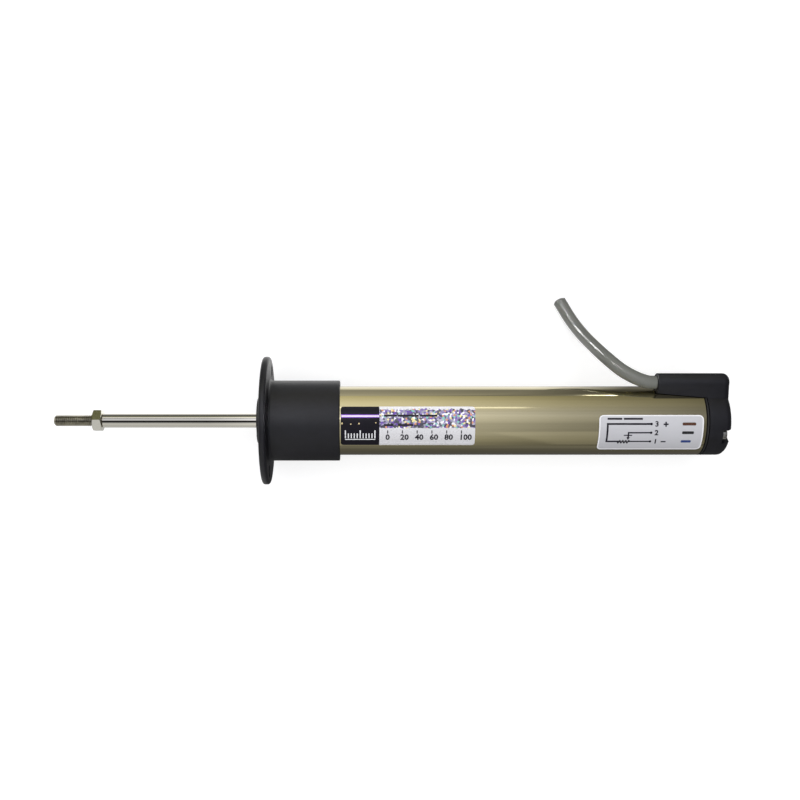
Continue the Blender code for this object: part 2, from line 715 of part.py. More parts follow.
def make_cable(frame):
    """The cable in world space, and its wires from the pins to its inner end."""
    turn = Matrix.Rotation(BLOCK_TURN, 3, "X")
    inner = turn @ Vector((CABLE_END_X, 0.0, BLOCK_HEIGHT))
    mouth = turn @ Vector((BLOCK_MOUTH_X, 0.0, BLOCK_HEIGHT))
    free = [Vector(point) * MM for point in CABLE_ROUTE_MM]
    tube_wire("cable", smooth_curve([inner, mouth, *free], 2 * CABLE_D), CABLE_D, GREY_SHEATH, None)
    finishes = (("brown_wire", BROWN), ("black_wire", BLACK), ("blue_wire", BLUE))
    start_z = STRIP_TOP + SEAT_GAP + WIRE_D / 2
    turn_x = CAP_SEAT_X + POCKET_DEPTH - WIRE_D / 2 - SEAT_GAP
    for i, (name, finish) in enumerate(finishes):
        y = (i - 1) * WIRE_PITCH
        pin_y = (i - 1) * PIN_PITCH
        start = (PIN_X + PIN_D / 2 + SEAT_GAP, pin_y, start_z)
        route = [
            start,
            (PIN_X + 4 * MM, (pin_y + y) / 2, start_z),
            (TUBE_REAR_X - 3 * MM, y, start_z),
            (CAP_SEAT_X, y, start_z),
            (turn_x - 0.5 * MM, y, start_z + MM),
            (turn_x, y, (start_z + BLOCK_HEIGHT) / 2),
            (turn_x - 0.7 * MM, y, BLOCK_HEIGHT - MM),
            (CAP_SEAT_X + 0.5 * MM, y, BLOCK_HEIGHT),
            (CABLE_END_X + SEAT_GAP, y, BLOCK_HEIGHT),
        ]
        tube_wire(name, smooth_curve(route, 3 * WIRE_D), WIRE_D, finish, frame)


def make_slider(frame):
    """The plastic slider: a barrel with a flat top, two guide fins and a seat for each snap ring."""
    rear = CARRIAGE_X + CARRIAGE_LENGTH
    edge = SLIDER_EDGE
    seat = CLIP_D / 2 + SEAT_GAP
    depth = CLIP_THICK + 2 * SEAT_GAP
    points = [
        (CARRIAGE_X, seat),
        (CARRIAGE_X, SLIDER_RADIUS - edge),
        (CARRIAGE_X + edge, SLIDER_RADIUS),
        (rear - edge, SLIDER_RADIUS),
        (rear, SLIDER_RADIUS - edge),
        (rear, seat),
        (rear - depth, seat),
        (rear - depth, ROD_BORE),
        (CARRIAGE_X + depth, ROD_BORE),
        (CARRIAGE_X + depth, seat),
        (CARRIAGE_X, seat),
    ]
    slider = turned("slider_block", points, WHITE_PLASTIC, frame, SMALL_STEPS)
    fin_root = SEAT_GAP + seat
    for side in (-1, 1):
        y0, y1 = sorted((side * fin_root, side * FIN_REACH))
        join(slider, block(f"fin_{side}", (CARRIAGE_X + FIN_INSET, y0, FIN_LOW),
                           (rear - FIN_INSET, y1, SLIDER_TOP + MM), None, frame))
    flat = block(
        "cut_slider_top", (CARRIAGE_X - MM, -FIN_REACH - MM, SLIDER_TOP),
        (rear + MM, FIN_REACH + MM, SLIDER_RADIUS + MM), None, frame,
    )
    cut(slider, flat)
    return slider


def make_wiper(slider, frame):
    """The sprung contact: one bent strip, slit into prongs, held by two rivets."""
    base = SLIDER_TOP + SEAT_GAP
    top = base + WIPER_RISE - WIPER_THICK
    front = CARRIAGE_X + WIPER_INSET
    plate_end = front + WIPER_PLATE
    tip = CARRIAGE_X + CARRIAGE_LENGTH - WIPER_TIP_INSET
    points = [(front, base), (plate_end, base), (tip - WIPER_TOE, top)]
    points += [(tip - WIPER_TOE / 2, top), (tip, top - WIPER_CURL)]
    bm = polyline(points)
    sheet = bmesh.ops.extrude_edge_only(bm, edges=list(bm.edges))["geom"]
    moved = [v for v in sheet if isinstance(v, bmesh.types.BMVert)]
    bmesh.ops.translate(bm, vec=(0.0, WIPER_WIDTH, 0.0), verts=moved)
    bmesh.ops.translate(bm, vec=(0.0, -WIPER_WIDTH / 2, 0.0), verts=bm.verts)
    bmesh.ops.recalc_face_normals(bm, faces=bm.faces)
    wiper = mesh_object("wiper_contact", bm, SPRING_METAL, frame)
    shell = wiper.modifiers.new("thickness", "SOLIDIFY")
    shell.thickness = WIPER_THICK
    shell.offset = 1.0
    slit = block(
        "cut_wiper_slit", (plate_end + SLIT_FROM_PLATE, -WIPER_SLIT / 2, base - MM),
        (tip + MM, WIPER_SLIT / 2, base + 3 * MM), None, frame,
    )
    cut(wiper, slit)
    for side in (-1, 1):
        middle = side * (WIPER_SLIT / 2 + (WIPER_WIDTH - WIPER_SLIT) / 4)
        low = (plate_end + PRONG_FROM_PLATE, middle - PRONG_GAP / 2, base - MM)
        high = (tip + MM, middle + PRONG_GAP / 2, base + 3 * MM)
        cut(wiper, block(f"cut_prong_{side}", low, high, None, frame))
    for i, side in enumerate((-1, 1)):
        rivet_x = front + WIPER_PLATE / 2
        y = side * RIVET_PITCH / 2
        hole = RIVET_D / 2 + SEAT_GAP
        cut(wiper, upright_bar(f"cut_wiper_rivet_{i}", rivet_x, y, base - MM, base + MM, hole, None, frame))
        cut(slider, upright_bar(
            f"cut_slider_rivet_{i}", rivet_x, y, SLIDER_TOP - RIVET_LENGTH + SEAT_GAP, SLIDER_TOP + MM,
            hole, None, frame,
        ))
        rivet = turned(
            f"wiper_rivet_{i + 1}",
            [(0.0, 0.0), (0.0, RIVET_D / 2), (RIVET_LENGTH, RIVET_D / 2), (RIVET_LENGTH, RIVET_HEAD_D / 2),
             (RIVET_LENGTH + RIVET_HEAD / 2, RIVET_HEAD_D / 2),
             (RIVET_LENGTH + RIVET_HEAD, RIVET_HEAD_D / 4), (RIVET_LENGTH + RIVET_HEAD, 0.0)],
            BRASS,
            frame,
            TINY_STEPS,
        )
        rivet.location = (rivet_x, y, base + WIPER_THICK + SEAT_GAP - RIVET_LENGTH)
        rivet.rotation_euler = (0.0, -math.pi / 2, 0.0)


def groove_places():
    """Front x of each snap-ring groove in the rod."""
    seat = CLIP_THICK + 2 * SEAT_GAP
    return CARRIAGE_X, CARRIAGE_X + CARRIAGE_LENGTH - seat


def make_rod(frame):
    rod = ROD_D / 2
    thread = THREAD_D / 2
    groove = rod - GROOVE_DEPTH
    seat = CLIP_THICK + 2 * SEAT_GAP
    points = [(ROD_TIP_X, 0.0), (ROD_TIP_X, thread - THREAD_CHAMFER)]
    points += [(ROD_TIP_X + THREAD_CHAMFER, thread), (ROD_SHOULDER_X, thread)]
    points += [(ROD_SHOULDER_X, rod - SHOULDER_CHAMFER), (ROD_SHOULDER_X + SHOULDER_CHAMFER, rod)]
    for x in groove_places():
        points += [(x, rod), (x, groove), (x + seat, groove), (x + seat, rod)]
    points += [(ROD_REAR_X - ROD_CHAMFER, rod), (ROD_REAR_X, rod - ROD_CHAMFER), (ROD_REAR_X, 0.0)]
    turned("pull_rod", points, STEEL, frame, SMALL_STEPS)
    for name, x in zip(("rod_clip_front", "rod_clip_rear"), groove_places()):
        inner = groove + SEAT_GAP / 2
        clip = ring(name, x + SEAT_GAP, CLIP_THICK, inner, CLIP_D / 2, SPRING_STEEL, frame, SMALL_STEPS)
        mouth = block(
            f"cut_{name}", (x, -groove * 0.8, -CLIP_D), (x + seat, groove * 0.8, 0.0), None, frame
        )
        cut(clip, mouth)


def make_nut(frame):
    """A hex nut with chamfered corners, its shape a prism cut down by a turned blank."""
    x = ROD_SHOULDER_X - THREAD_GAP - NUT_THICK
    corner = NUT_FLATS / math.sqrt(3)
    flat = NUT_FLATS / 2
    drop = (corner - flat) * 0.6
    face = flat - NUT_FACE_INSET
    blank = corner + 0.02 * MM
    points = [(x, 0.0), (x, face), (x + drop, blank), (x + NUT_THICK - drop, blank)]
    points += [(x + NUT_THICK, face)]
    nut = turned("lock_nut", [*points, (x + NUT_THICK, 0.0)], STEEL, frame, ROUND_STEPS)
    bm = bmesh.new()
    turn = Matrix.Rotation(math.pi / 2, 4, "Y")
    spin = Matrix.Rotation(NUT_TURN - BLOCK_TURN, 4, "X")
    bmesh.ops.create_cone(
        bm, cap_ends=True, segments=6, radius1=corner, radius2=corner, depth=NUT_THICK + 2 * MM,
        matrix=Matrix.Translation((x + NUT_THICK / 2, 0.0, 0.0)) @ spin @ turn,
    )
    prism = mesh_object("nut_prism", bm, None, frame)
    boolean(nut, prism, "INTERSECT")
    bore = THREAD_D / 2 + THREAD_GAP
    cut(nut, round_bar("cut_nut_bore", x - MM, NUT_THICK + 2 * MM, bore, (0.0, 0.0), None, frame))


def label(name, x, length, top, corner, finish):
    """A thin sheet bent round the tube, with rounded corners, its upper edge at an angle from +Z."""
    bm = bmesh.new()
    place = Matrix.Diagonal((length, LABEL_HEIGHT, 1.0, 1.0))
    bmesh.ops.create_grid(bm, x_segments=1, y_segments=1, size=0.5, matrix=place)
    bmesh.ops.bevel(
        bm, geom=bm.verts, offset=corner, segments=4, profile=0.5, affect="VERTICES", material=-1
    )
    strips = 12
    for i in range(1, strips):
        y = LABEL_HEIGHT * (i / strips - 0.5)
        everything = [*bm.verts, *bm.edges, *bm.faces]
        bmesh.ops.bisect_plane(bm, geom=everything, plane_co=(0.0, y, 0.0), plane_no=(0.0, 1.0, 0.0))
    radius = TUBE_D / 2 + LABEL_GAP
    for vert in bm.verts:
        angle = top - (LABEL_HEIGHT / 2 - vert.co.y) / radius
        vert.co = (x + length / 2 + vert.co.x, radius * math.sin(angle), radius * math.cos(angle))
    bmesh.ops.recalc_face_normals(bm, faces=bm.faces)
    if sum(face.normal.z for face in bm.faces) < 0:
        bmesh.ops.reverse_faces(bm, faces=bm.faces)
    obj = mesh_object(name, bm, finish, None)
    sheet = obj.modifiers.new("thickness", "SOLIDIFY")
    sheet.thickness = LABEL_THICK
    sheet.offset = 1.0


clear_scene()
PARTS = new_collection("position_transducer")
CUTTERS = new_collection("cutters")

BLACK_PLASTIC = material("black_plastic", (0.022, 0.022, 0.026), 0.45)
WHITE_PLASTIC = material("white_plastic", (0.75, 0.74, 0.70), 0.4)
GOLD_ALUMINIUM = material("gold_anodised_aluminium", (0.62, 0.53, 0.36), 0.25, 1.0)
STEEL = material("steel", (0.60, 0.58, 0.54), 0.25, 1.0)
SPRING_STEEL = material("spring_steel", (0.20, 0.20, 0.21), 0.35, 1.0)
METAL_SCREW = material("screw_steel", (0.62, 0.61, 0.58), 0.35, 1.0)
BRONZE = material("bronze", (0.45, 0.32, 0.17), 0.4, 1.0)
BRASS = material("brass", (0.70, 0.55, 0.25), 0.3, 1.0)
SPRING_METAL = material("contact_alloy", (0.80, 0.72, 0.50), 0.3, 1.0)
RUBBER = material("rubber", (0.02, 0.02, 0.02), 0.8)
BOARD = material("element_board", (0.16, 0.22, 0.13), 0.6)
CARBON = material("carbon_track", (0.03, 0.03, 0.03), 0.5)
SILVER = material("silver_track", (0.60, 0.60, 0.58), 0.4, 0.8)
GREY_SHEATH = material("grey_sheath", (0.27, 0.28, 0.26), 0.45)
BROWN = material("brown_sheath", (0.17, 0.07, 0.03), 0.5)
BLACK = material("black_sheath", (0.02, 0.02, 0.02), 0.5)
BLUE = material("blue_sheath", (0.03, 0.10, 0.40), 0.5)
LABEL_FILM = material("label_film", (0.55, 0.54, 0.60), 0.35, 0.6)

housing = new_empty("housing_axis")
housing.rotation_euler = (BLOCK_TURN, 0.0, 0.0)
carriage = new_empty("carriage_axis", housing)
rod_frame = new_empty("rod_axis", carriage)

make_flange(housing)
make_front_fittings(housing)
make_tube(housing)
make_element(housing)
make_cap(housing)
make_rear_fittings(housing)
make_cable(housing)
make_wiper(make_slider(carriage), carriage)
make_rod(rod_frame)
make_nut(rod_frame)
label(
    "front_label",
    FRONT_LABEL_X,
    FRONT_LABEL_LENGTH,
    FRONT_LABEL_TOP,
    FRONT_LABEL_CORNER,
    LABEL_FILM,
)
label(
    "wiring_label",
    TUBE_REAR_X - WIRING_LABEL_FROM_END,
    WIRING_LABEL_LENGTH,
    WIRING_LABEL_TOP,
    WIRING_LABEL_CORNER,
    LABEL_FILM,
)
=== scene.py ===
# %% [markdown]
# # A linear position sensor with a pull rod
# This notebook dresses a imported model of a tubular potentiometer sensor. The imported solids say
# where each piece is and how it moves. Here each visible piece gets its fine shape and its
# finish: threads, screw recesses, rounded mouldings, anodised metal, labels and a cable.

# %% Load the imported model
import math

import bmesh
import bpy
from mathutils import Matrix, Vector


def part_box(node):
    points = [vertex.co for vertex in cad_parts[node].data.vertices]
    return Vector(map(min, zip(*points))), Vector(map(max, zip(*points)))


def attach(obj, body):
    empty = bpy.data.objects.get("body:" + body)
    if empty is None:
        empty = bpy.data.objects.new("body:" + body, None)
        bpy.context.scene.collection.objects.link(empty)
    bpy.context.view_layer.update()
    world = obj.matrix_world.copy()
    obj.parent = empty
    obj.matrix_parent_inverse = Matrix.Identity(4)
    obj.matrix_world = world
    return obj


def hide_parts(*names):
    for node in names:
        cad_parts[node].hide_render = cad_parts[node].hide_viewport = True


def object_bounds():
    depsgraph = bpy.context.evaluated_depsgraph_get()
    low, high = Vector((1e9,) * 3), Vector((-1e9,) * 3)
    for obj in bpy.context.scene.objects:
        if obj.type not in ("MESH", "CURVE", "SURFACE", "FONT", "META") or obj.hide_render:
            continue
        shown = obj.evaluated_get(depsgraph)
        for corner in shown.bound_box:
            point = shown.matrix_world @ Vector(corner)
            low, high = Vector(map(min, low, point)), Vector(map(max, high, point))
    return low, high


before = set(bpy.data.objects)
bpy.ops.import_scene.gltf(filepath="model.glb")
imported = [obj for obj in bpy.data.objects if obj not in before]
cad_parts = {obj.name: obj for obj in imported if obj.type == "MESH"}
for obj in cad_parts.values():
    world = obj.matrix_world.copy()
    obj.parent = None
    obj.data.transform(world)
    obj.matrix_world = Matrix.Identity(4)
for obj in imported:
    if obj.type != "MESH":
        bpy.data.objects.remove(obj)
cad_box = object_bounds()
MM = 0.001
print("nodes", len(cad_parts), "box", cad_box)

# %% [markdown]
# ## Camera
# The photograph looks straight down on the sensor from about 360 mm. The rod runs to the left
# along -X. The lens and the height come from how the round flange bulges towards the viewer.
# The camera stood above the left half and its picture was cropped, so the lens is shifted by a
# twentieth of the frame, and the camera is turned by a hair to bring the whole sensor in.

# %% Camera
CAMERA_PLACE = (32.36 * MM, 7.175 * MM, 362.6 * MM)
CAMERA_TURN = math.radians(-0.217)
CAMERA_SHIFT = 0.05
CAMERA_LENS = 46.63

camera_data = bpy.data.cameras.new("camera")
camera_data.lens = CAMERA_LENS
camera_data.shift_x = CAMERA_SHIFT
camera_data.clip_start = 0.01
camera = bpy.data.objects.new("camera", camera_data)
camera.location = CAMERA_PLACE
camera.rotation_euler = (0.0, CAMERA_TURN, 0.0)
bpy.context.scene.collection.objects.link(camera)
bpy.context.scene.camera = camera
bpy.context.scene.view_settings.view_transform = "Standard"
print("camera", CAMERA_PLACE, "lens", camera_data.lens)

# %% [markdown]
# ## Finishes
# A finish that is one flat colour looks like plastic clay. Each finish here starts from the
# same small recipe: a noise in the piece's own coordinates makes the colour and the roughness
# drift a little, and a finer noise drives a bump. Stretching the noise along X gives the fine
# lines of drawn and extruded metal.

# %% Helpers for finishes
# Most of a noise's values lie in this span
NOISE_SPAN = (0.3, 0.7)
# The clouds of colour on a finish are this many times as wide as its grain
CLOUD_SIZE = 12


def new_material(name):
    """A new material with its node tree, its shader and the piece's own coordinates."""
    made = bpy.data.materials.new(name)
    made.use_nodes = True
    tree = made.node_tree
    shader = tree.nodes["Principled BSDF"]
    coords = tree.nodes.new("ShaderNodeTexCoord").outputs["Object"]
    return made, tree, shader, coords


def math_node(tree, operation, first, second=0.0, third=0.0):
    """A Math node's result. Each operand is a number or another node's output."""
    node = tree.nodes.new("ShaderNodeMath")
    node.operation = operation
    for socket, value in zip(node.inputs, (first, second, third)):
        if isinstance(value, bpy.types.NodeSocket):
            tree.links.new(value, socket)
        else:
            socket.default_value = value
    return node.outputs["Value"]


def mix_colors(tree, factor, first, second):
    """The first colour where the factor is 0 and the second where it is 1."""
    node = tree.nodes.new("ShaderNodeMix")
    node.data_type = "RGBA"
    for name, value in (("Factor", factor), ("A", first), ("B", second)):
        sockets = [s for s in node.inputs if s.name == name and s.enabled]
        if isinstance(value, bpy.types.NodeSocket):
            tree.links.new(value, sockets[0])
        else:
            sockets[0].default_value = value if name == "Factor" else (*value, 1.0)
    return [s for s in node.outputs if s.enabled][0]


def noise_on(tree, coords, size, stretch=(1.0, 1.0, 1.0), detail=3.0):
    """Noise whose grain is size metres across, drawn out along an axis by stretch."""
    mapping = tree.nodes.new("ShaderNodeMapping")
    mapping.inputs["Scale"].default_value = [1.0 / (size * s) for s in stretch]
    noise = tree.nodes.new("ShaderNodeTexNoise")
    noise.inputs["Scale"].default_value = 1.0
    noise.inputs["Detail"].default_value = detail
    tree.links.new(coords, mapping.inputs["Vector"])
    tree.links.new(mapping.outputs["Vector"], noise.inputs["Vector"])
    return noise.outputs["Fac"]


def map_range(tree, value, low, high, to_low, to_high):
    """A value that runs from to_low to to_high as the given one runs from low to high."""
    node = tree.nodes.new("ShaderNodeMapRange")
    numbers = {"From Min": low, "From Max": high, "To Min": to_low, "To Max": to_high}
    for name, number in numbers.items():
        node.inputs[name].default_value = number
    tree.links.new(value, node.inputs["Value"])
    return node.outputs["Result"]


def add_bump(tree, shader, height, distance):
    """Makes the surface seem to rise by distance metres where the height is 1."""
    bump = tree.nodes.new("ShaderNodeBump")
    bump.inputs["Distance"].default_value = distance
    tree.links.new(height, bump.inputs["Height"])
    tree.links.new(bump.outputs["Normal"], shader.inputs["Normal"])


def grained(name, color, roughness, metallic=0.0, grain=0.3 * MM, vary=0.1, bump=0.01 * MM,
            coat=0.0, rough_vary=0.15, specular=0.5):
    """The common recipe: drifting colour and roughness over a fine bump."""
    made, tree, shader, coords = new_material(name)
    broad = noise_on(tree, coords, grain * CLOUD_SIZE, detail=2.0)
    fine = noise_on(tree, coords, grain)
    low = [c * (1 - vary) for c in color]
    high = [min(1.0, c * (1 + vary)) for c in color]
    tree.links.new(mix_colors(tree, broad, low, high), shader.inputs["Base Color"])
    smoothest = roughness * (1 - rough_vary)
    roughest = min(1.0, roughness * (1 + rough_vary))
    rough = map_range(tree, fine, *NOISE_SPAN, smoothest, roughest)
    tree.links.new(rough, shader.inputs["Roughness"])
    shader.inputs["Metallic"].default_value = metallic
    shader.inputs["Specular IOR Level"].default_value = specular
    shader.inputs["Coat Weight"].default_value = coat
    if bump:
        add_bump(tree, shader, fine, bump)
    return made


# %% [markdown]
# ## Floor
# The sensor lies on a plain white sheet, which is one large square. The camera sees it evenly
# white through the Light Path node. Polished metal mirrors the sheet too, but there it glows with
# painted light and shade: a table of ramps along X and Y paints a lit strip near the sensor,
# painted shade close behind the tube and towards the rear end, and a dimmer sheet in front.

# %% Floor
FLOOR_SIZE = 3.0
FLOOR_Z = cad_box[0][2]
FLOOR_GAP = 0.02 * MM
FLOOR_WHITE = 0.66
SHEET_GREY = (0.5, 0.5, 0.5)
MIRRORED_GREY = (0.02, 0.02, 0.02)
# Painted light and shade that mirrors see on the sheet: an axis, two places on it in mm, and the level
# at each
PAINTED_SHEET_LIGHT = {
    "lit_strip": ("Y", 40, 49, 1.35, 0.27),
    "painted_shade_at_rear": ("X", 100, 135, 1.0, 0.15),
    "painted_shadow_by_tube": ("Y", 14, 22, 0.30, 1.0),
    "beside_rod": ("X", -2, 8, 1.0, 0.0),
    "along_tube": ("X", 40, 95, 0.20, 0.05),
    "from_flange": ("X", -12, 8, 0.0, 1.0),
    "past_strip": ("Y", 40, 50, 0.0, 1.0),
    "far_off": ("Y", 60, 240, 0.0, 0.22),
    "in_front": ("Y", -170, -30, 0.24, 0.10),
    "in_front_of_rod": ("X", -8, 8, 0.58, 0.0),
    "behind": ("Y", -1, 1, 0.0, 1.0),
}


def mesh_object(name, bm):
    """A new object in the scene whose mesh is the bmesh."""
    mesh = bpy.data.meshes.new(name)
    bm.to_mesh(mesh)
    bm.free()
    obj = bpy.data.objects.new(name, mesh)
    bpy.context.scene.collection.objects.link(obj)
    return obj


def product(tree, first, *others):
    """Numbers or outputs of nodes multiplied together."""
    for other in others:
        first = math_node(tree, "MULTIPLY", first, other)
    return first


def floor_finish():
    """White to the camera. Mirror finishes see painted light on it behind the sensor, painted shade
    close to the tube, and a dim sheet in front.
    """
    made, tree, shader, coords = new_material("white_sheet")
    path = tree.nodes.new("ShaderNodeLightPath")
    mirrored = math_node(
        tree, "MAXIMUM", path.outputs["Is Glossy Ray"], path.outputs["Is Transmission Ray"]
    )
    grey = mix_colors(tree, mirrored, SHEET_GREY, MIRRORED_GREY)
    tree.links.new(grey, shader.inputs["Base Color"])
    shader.inputs["Roughness"].default_value = 0.9
    shader.inputs["Specular IOR Level"].default_value = 0.0
    split = tree.nodes.new("ShaderNodeSeparateXYZ")
    tree.links.new(coords, split.inputs["Vector"])
    level = {
        name: map_range(tree, split.outputs[axis], start * MM, end * MM, *levels)
        for name, (axis, start, end, *levels) in PAINTED_SHEET_LIGHT.items()
    }
    # Painted shadow: the sheet is dimmer close behind the tube, except beside the rod, and towards the
    # rear end
    close = math_node(tree, "MAXIMUM", level["painted_shadow_by_tube"], level["beside_rod"])
    near = product(tree, level["lit_strip"], level["painted_shade_at_rear"], close)
    beyond = product(tree, level["along_tube"], level["from_flange"], level["past_strip"])
    near = math_node(tree, "ADD", near, beyond)
    behind = math_node(tree, "ADD", near, level["far_off"])
    in_front = math_node(tree, "MAXIMUM", level["in_front"], level["in_front_of_rod"])
    rise = math_node(tree, "SUBTRACT", behind, in_front)
    lit = math_node(tree, "MULTIPLY_ADD", level["behind"], rise, in_front)
    seen = math_node(tree, "MULTIPLY", path.outputs["Is Camera Ray"], FLOOR_WHITE)
    strength = math_node(tree, "MULTIPLY_ADD", mirrored, lit, seen)
    tree.links.new(strength, shader.inputs["Emission Strength"])
    shader.inputs["Emission Color"].default_value = (1.0, 1.0, 1.0, 1.0)
    return made


def make_floor():
    bm = bmesh.new()
    bmesh.ops.create_grid(bm, x_segments=1, y_segments=1, size=FLOOR_SIZE / 2)
    bmesh.ops.translate(bm, vec=(0.0, 0.0, FLOOR_Z - FLOOR_GAP), verts=bm.verts)
    floor = mesh_object("floor", bm)
    floor.data.materials.append(floor_finish())


make_floor()
print("floor at", FLOOR_Z)

# %% [markdown]
# ## World
# What makes round metal look like metal is the room that it mirrors. A picture of a room isn't
# needed for that: the world here is a set of soft bands round the tube's axis, bright overhead
# and darker to both sides, made with one colour ramp. A second ramp makes the room brightest
# above the flange and dimmer towards both ends. The camera itself sees plain white.

# %% World
# Angle from straight up towards +Y in degrees, the level of the room there, and its share of blue
WORLD_BANDS = (
    (-180, 0.10, 1.0), (-110, 0.24, 0.95), (-95, 0.28, 0.95), (-81, 0.34, 0.92), (-65, 0.49, 0.92),
    (-43, 0.65, 1.02), (-20, 0.70, 1.05), (-8, 0.77, 1.06), (4, 1.0, 1.08), (16, 1.16, 1.12),
    (26, 1.04, 1.12), (36, 0.98, 1.05), (58, 0.98, 0.88), (75, 0.81, 0.80), (92, 0.61, 0.70),
    (105, 0.42, 0.70), (180, 0.12, 1.0),
)
# How the room's level changes along the sensor: the X part of the direction, and the level
WORLD_GAINS = (
    (-0.50, 0.60), (-0.14, 0.66), (-0.03, 1.45), (0.06, 1.26), (0.13, 1.0), (0.20, 0.68),
    (0.27, 0.46), (0.36, 0.20), (0.50, 0.20),
)
WORLD_REACH = 0.5
GREEN_LOSS = 0.15
# The gains are kept at half in their ramp, so that no stop is over 1, and doubled after it
GAIN_SCALE = 2.0


def ramp_of(tree, value, stops, steps="LINEAR"):
    """A colour ramp with the stops (position, colour)."""
    ramp = tree.nodes.new("ShaderNodeValToRGB")
    ramp.color_ramp.interpolation = steps
    made = ramp.color_ramp.elements
    while len(made) < len(stops):
        made.new(0.5)
    for stop, (position, color) in zip(made, stops):
        stop.position = position
        stop.color = (*color, 1.0)
    tree.links.new(value, ramp.inputs["Fac"])
    return ramp.outputs["Color"]


def make_world():
    """White to the camera. To all else a dome of bands round X, brightest above the flange."""
    world = bpy.data.worlds.new("studio")
    world.use_nodes = True
    tree = world.node_tree
    background = tree.nodes["Background"]
    direction = tree.nodes.new("ShaderNodeTexCoord").outputs["Generated"]
    split = tree.nodes.new("ShaderNodeSeparateXYZ")
    tree.links.new(direction, split.inputs["Vector"])
    angle = math_node(tree, "ARCTAN2", split.outputs["Y"], split.outputs["Z"])
    place = map_range(tree, angle, -math.pi, math.pi, 0.0, 1.0)
    bands = []
    for degrees, level, blue in WORLD_BANDS:
        green = 1.0 - GREEN_LOSS * (1.0 - blue)
        bands.append(((degrees + 180) / 360, (level, level * green, level * blue)))
    color = ramp_of(tree, place, bands)
    across = map_range(tree, split.outputs["X"], -WORLD_REACH, WORLD_REACH, 0.0, 1.0)
    stops = [(x + WORLD_REACH, (level / GAIN_SCALE,) * 3) for x, level in WORLD_GAINS]
    gain = math_node(tree, "MULTIPLY", ramp_of(tree, across, stops), GAIN_SCALE)
    seen = tree.nodes.new("ShaderNodeLightPath").outputs["Is Camera Ray"]
    tree.links.new(mix_colors(tree, seen, color, (1.0, 1.0, 1.0)), background.inputs["Color"])
    unseen = math_node(tree, "SUBTRACT", 1.0, seen)
    strength = math_node(tree, "ADD", math_node(tree, "MULTIPLY", gain, unseen), seen)
    tree.links.new(strength, background.inputs["Strength"])
    bpy.context.scene.world = world


make_world()
print("world bands", len(WORLD_BANDS))

# %% [markdown]
# ## Lamps
# A lamp's face is as bright as its power over its area, and that is what a mirror finish
# shows. So each lamp here is given by its brightness, where 1 is white, and its power is worked
# out. The large lamp overhead lights labels and sheath evenly and isn't mirrored in the metal.
# One long narrow lamp makes the streak along the tube. Two large soft ones in front fill the
# rod's near side and the right half of the tube. One over the neck gives the black moulding its
# soft shine, and two small ones far to the right catch the flange's rim. Six with narrow beams
# each light one stretch of the bright line along the cable, and two low ones behind the tube
# make two short glints by the cable.

# %% Lamps
LAMPS = (
    # name, place, aim, width, height (m), brightness of its face, beam in degrees, what sees it
    ("overhead", (0.04, -0.02, 0.62), (0.04, 0.0, 0.0), 0.70, 0.60, 1.75, 180, "diffuse"),
    ("streak", (-0.11, 0.385, 0.40), (-0.11, 0.0, 0.0), 0.58, 0.045, 1.2, 180, "all"),
    ("left_fill", (-0.15, -0.42, 0.16), (-0.03, 0.0, 0.0), 0.26, 0.36, 0.35, 180, "all"),
    ("right_fill", (0.235, -0.42, 0.24), (0.12, 0.0, 0.0), 0.13, 0.45, 0.14, 180, "all"),
    ("neck_shine", (-0.007, 0.13, 0.40), (0.010, 0.0, 0.014), 0.036, 0.20, 3.8, 180, "all"),
    ("rim_shine_low", (0.30, 0.035, 0.062), (0.003, 0.0, 0.021), 0.03, 0.03, 0.10, 12, "glossy"),
    ("rim_shine_high", (0.22, 0.055, 0.20), (0.003, 0.002, 0.021), 0.03, 0.03, 0.17, 10, "glossy"),
    ("cable_line_1", (0.0, 0.155, -0.006), (0.1155, 0.029, -0.010), 0.016, 0.028, 1.7, 20, "glossy"),
    ("cable_line_2", (0.075, 0.072, -0.0166), (0.1145, 0.028, -0.006), 0.008, 0.006, 6.5, 40, "glossy"),
    ("cable_line_3", (-0.134, 0.303, 0.147), (0.113, 0.0335, -0.0155), 0.03, 0.06, 0.22, 10, "glossy"),
    ("cable_line_4", (-0.096, 0.247, 0.221), (0.111, 0.037, -0.0184), 0.03, 0.06, 0.65, 10, "glossy"),
    ("cable_line_5", (-0.05, 0.18, 0.26), (0.1095, 0.040, -0.019), 0.025, 0.05, 2.5, 10, "glossy"),
    ("cable_line_6", (-0.019, 0.121, 0.274), (0.1084, 0.042, -0.020), 0.025, 0.05, 3.0, 10, "glossy"),
    ("glint_1", (0.1805, 0.30, -0.013), (0.11, 0.01, 0.008), 0.0096, 0.014, 5.0, 180, "all"),
    ("glint_2", (0.1928, 0.30, -0.013), (0.12, 0.01, 0.008), 0.0110, 0.014, 9.0, 180, "all"),
)


def add_lamp(name, place, aim, width, height, brightness, beam, seen_by):
    """A rectangular lamp whose power follows from its face's size and brightness."""
    lamp_data = bpy.data.lights.new(name, "AREA")
    lamp_data.shape = "RECTANGLE"
    lamp_data.size, lamp_data.size_y = width, height
    lamp_data.spread = math.radians(beam)
    lamp_data.energy = brightness * math.pi * width * height
    lamp = bpy.data.objects.new(name, lamp_data)
    lamp.location = place
    lamp.rotation_euler = (Vector(aim) - Vector(place)).to_track_quat("-Z", "Y").to_euler()
    lamp.visible_camera = False
    lamp.visible_glossy = seen_by != "diffuse"
    lamp.visible_diffuse = seen_by != "glossy"
    bpy.context.scene.collection.objects.link(lamp)
    print(name, round(lamp_data.energy, 3), "W")


for lamp_row in LAMPS:
    add_lamp(*lamp_row)

# %% [markdown]
# ## Black cards
# Photographers put black cards round polished metal, because a mirror without something dark in
# it looks like plain white. The cards by the rod do that here: two overhead make the dark
# lines along it, and one behind darkens its far side. Above that one a strip of dim olive gives
# the nut's far face its tone. Only mirror finishes see the cards.

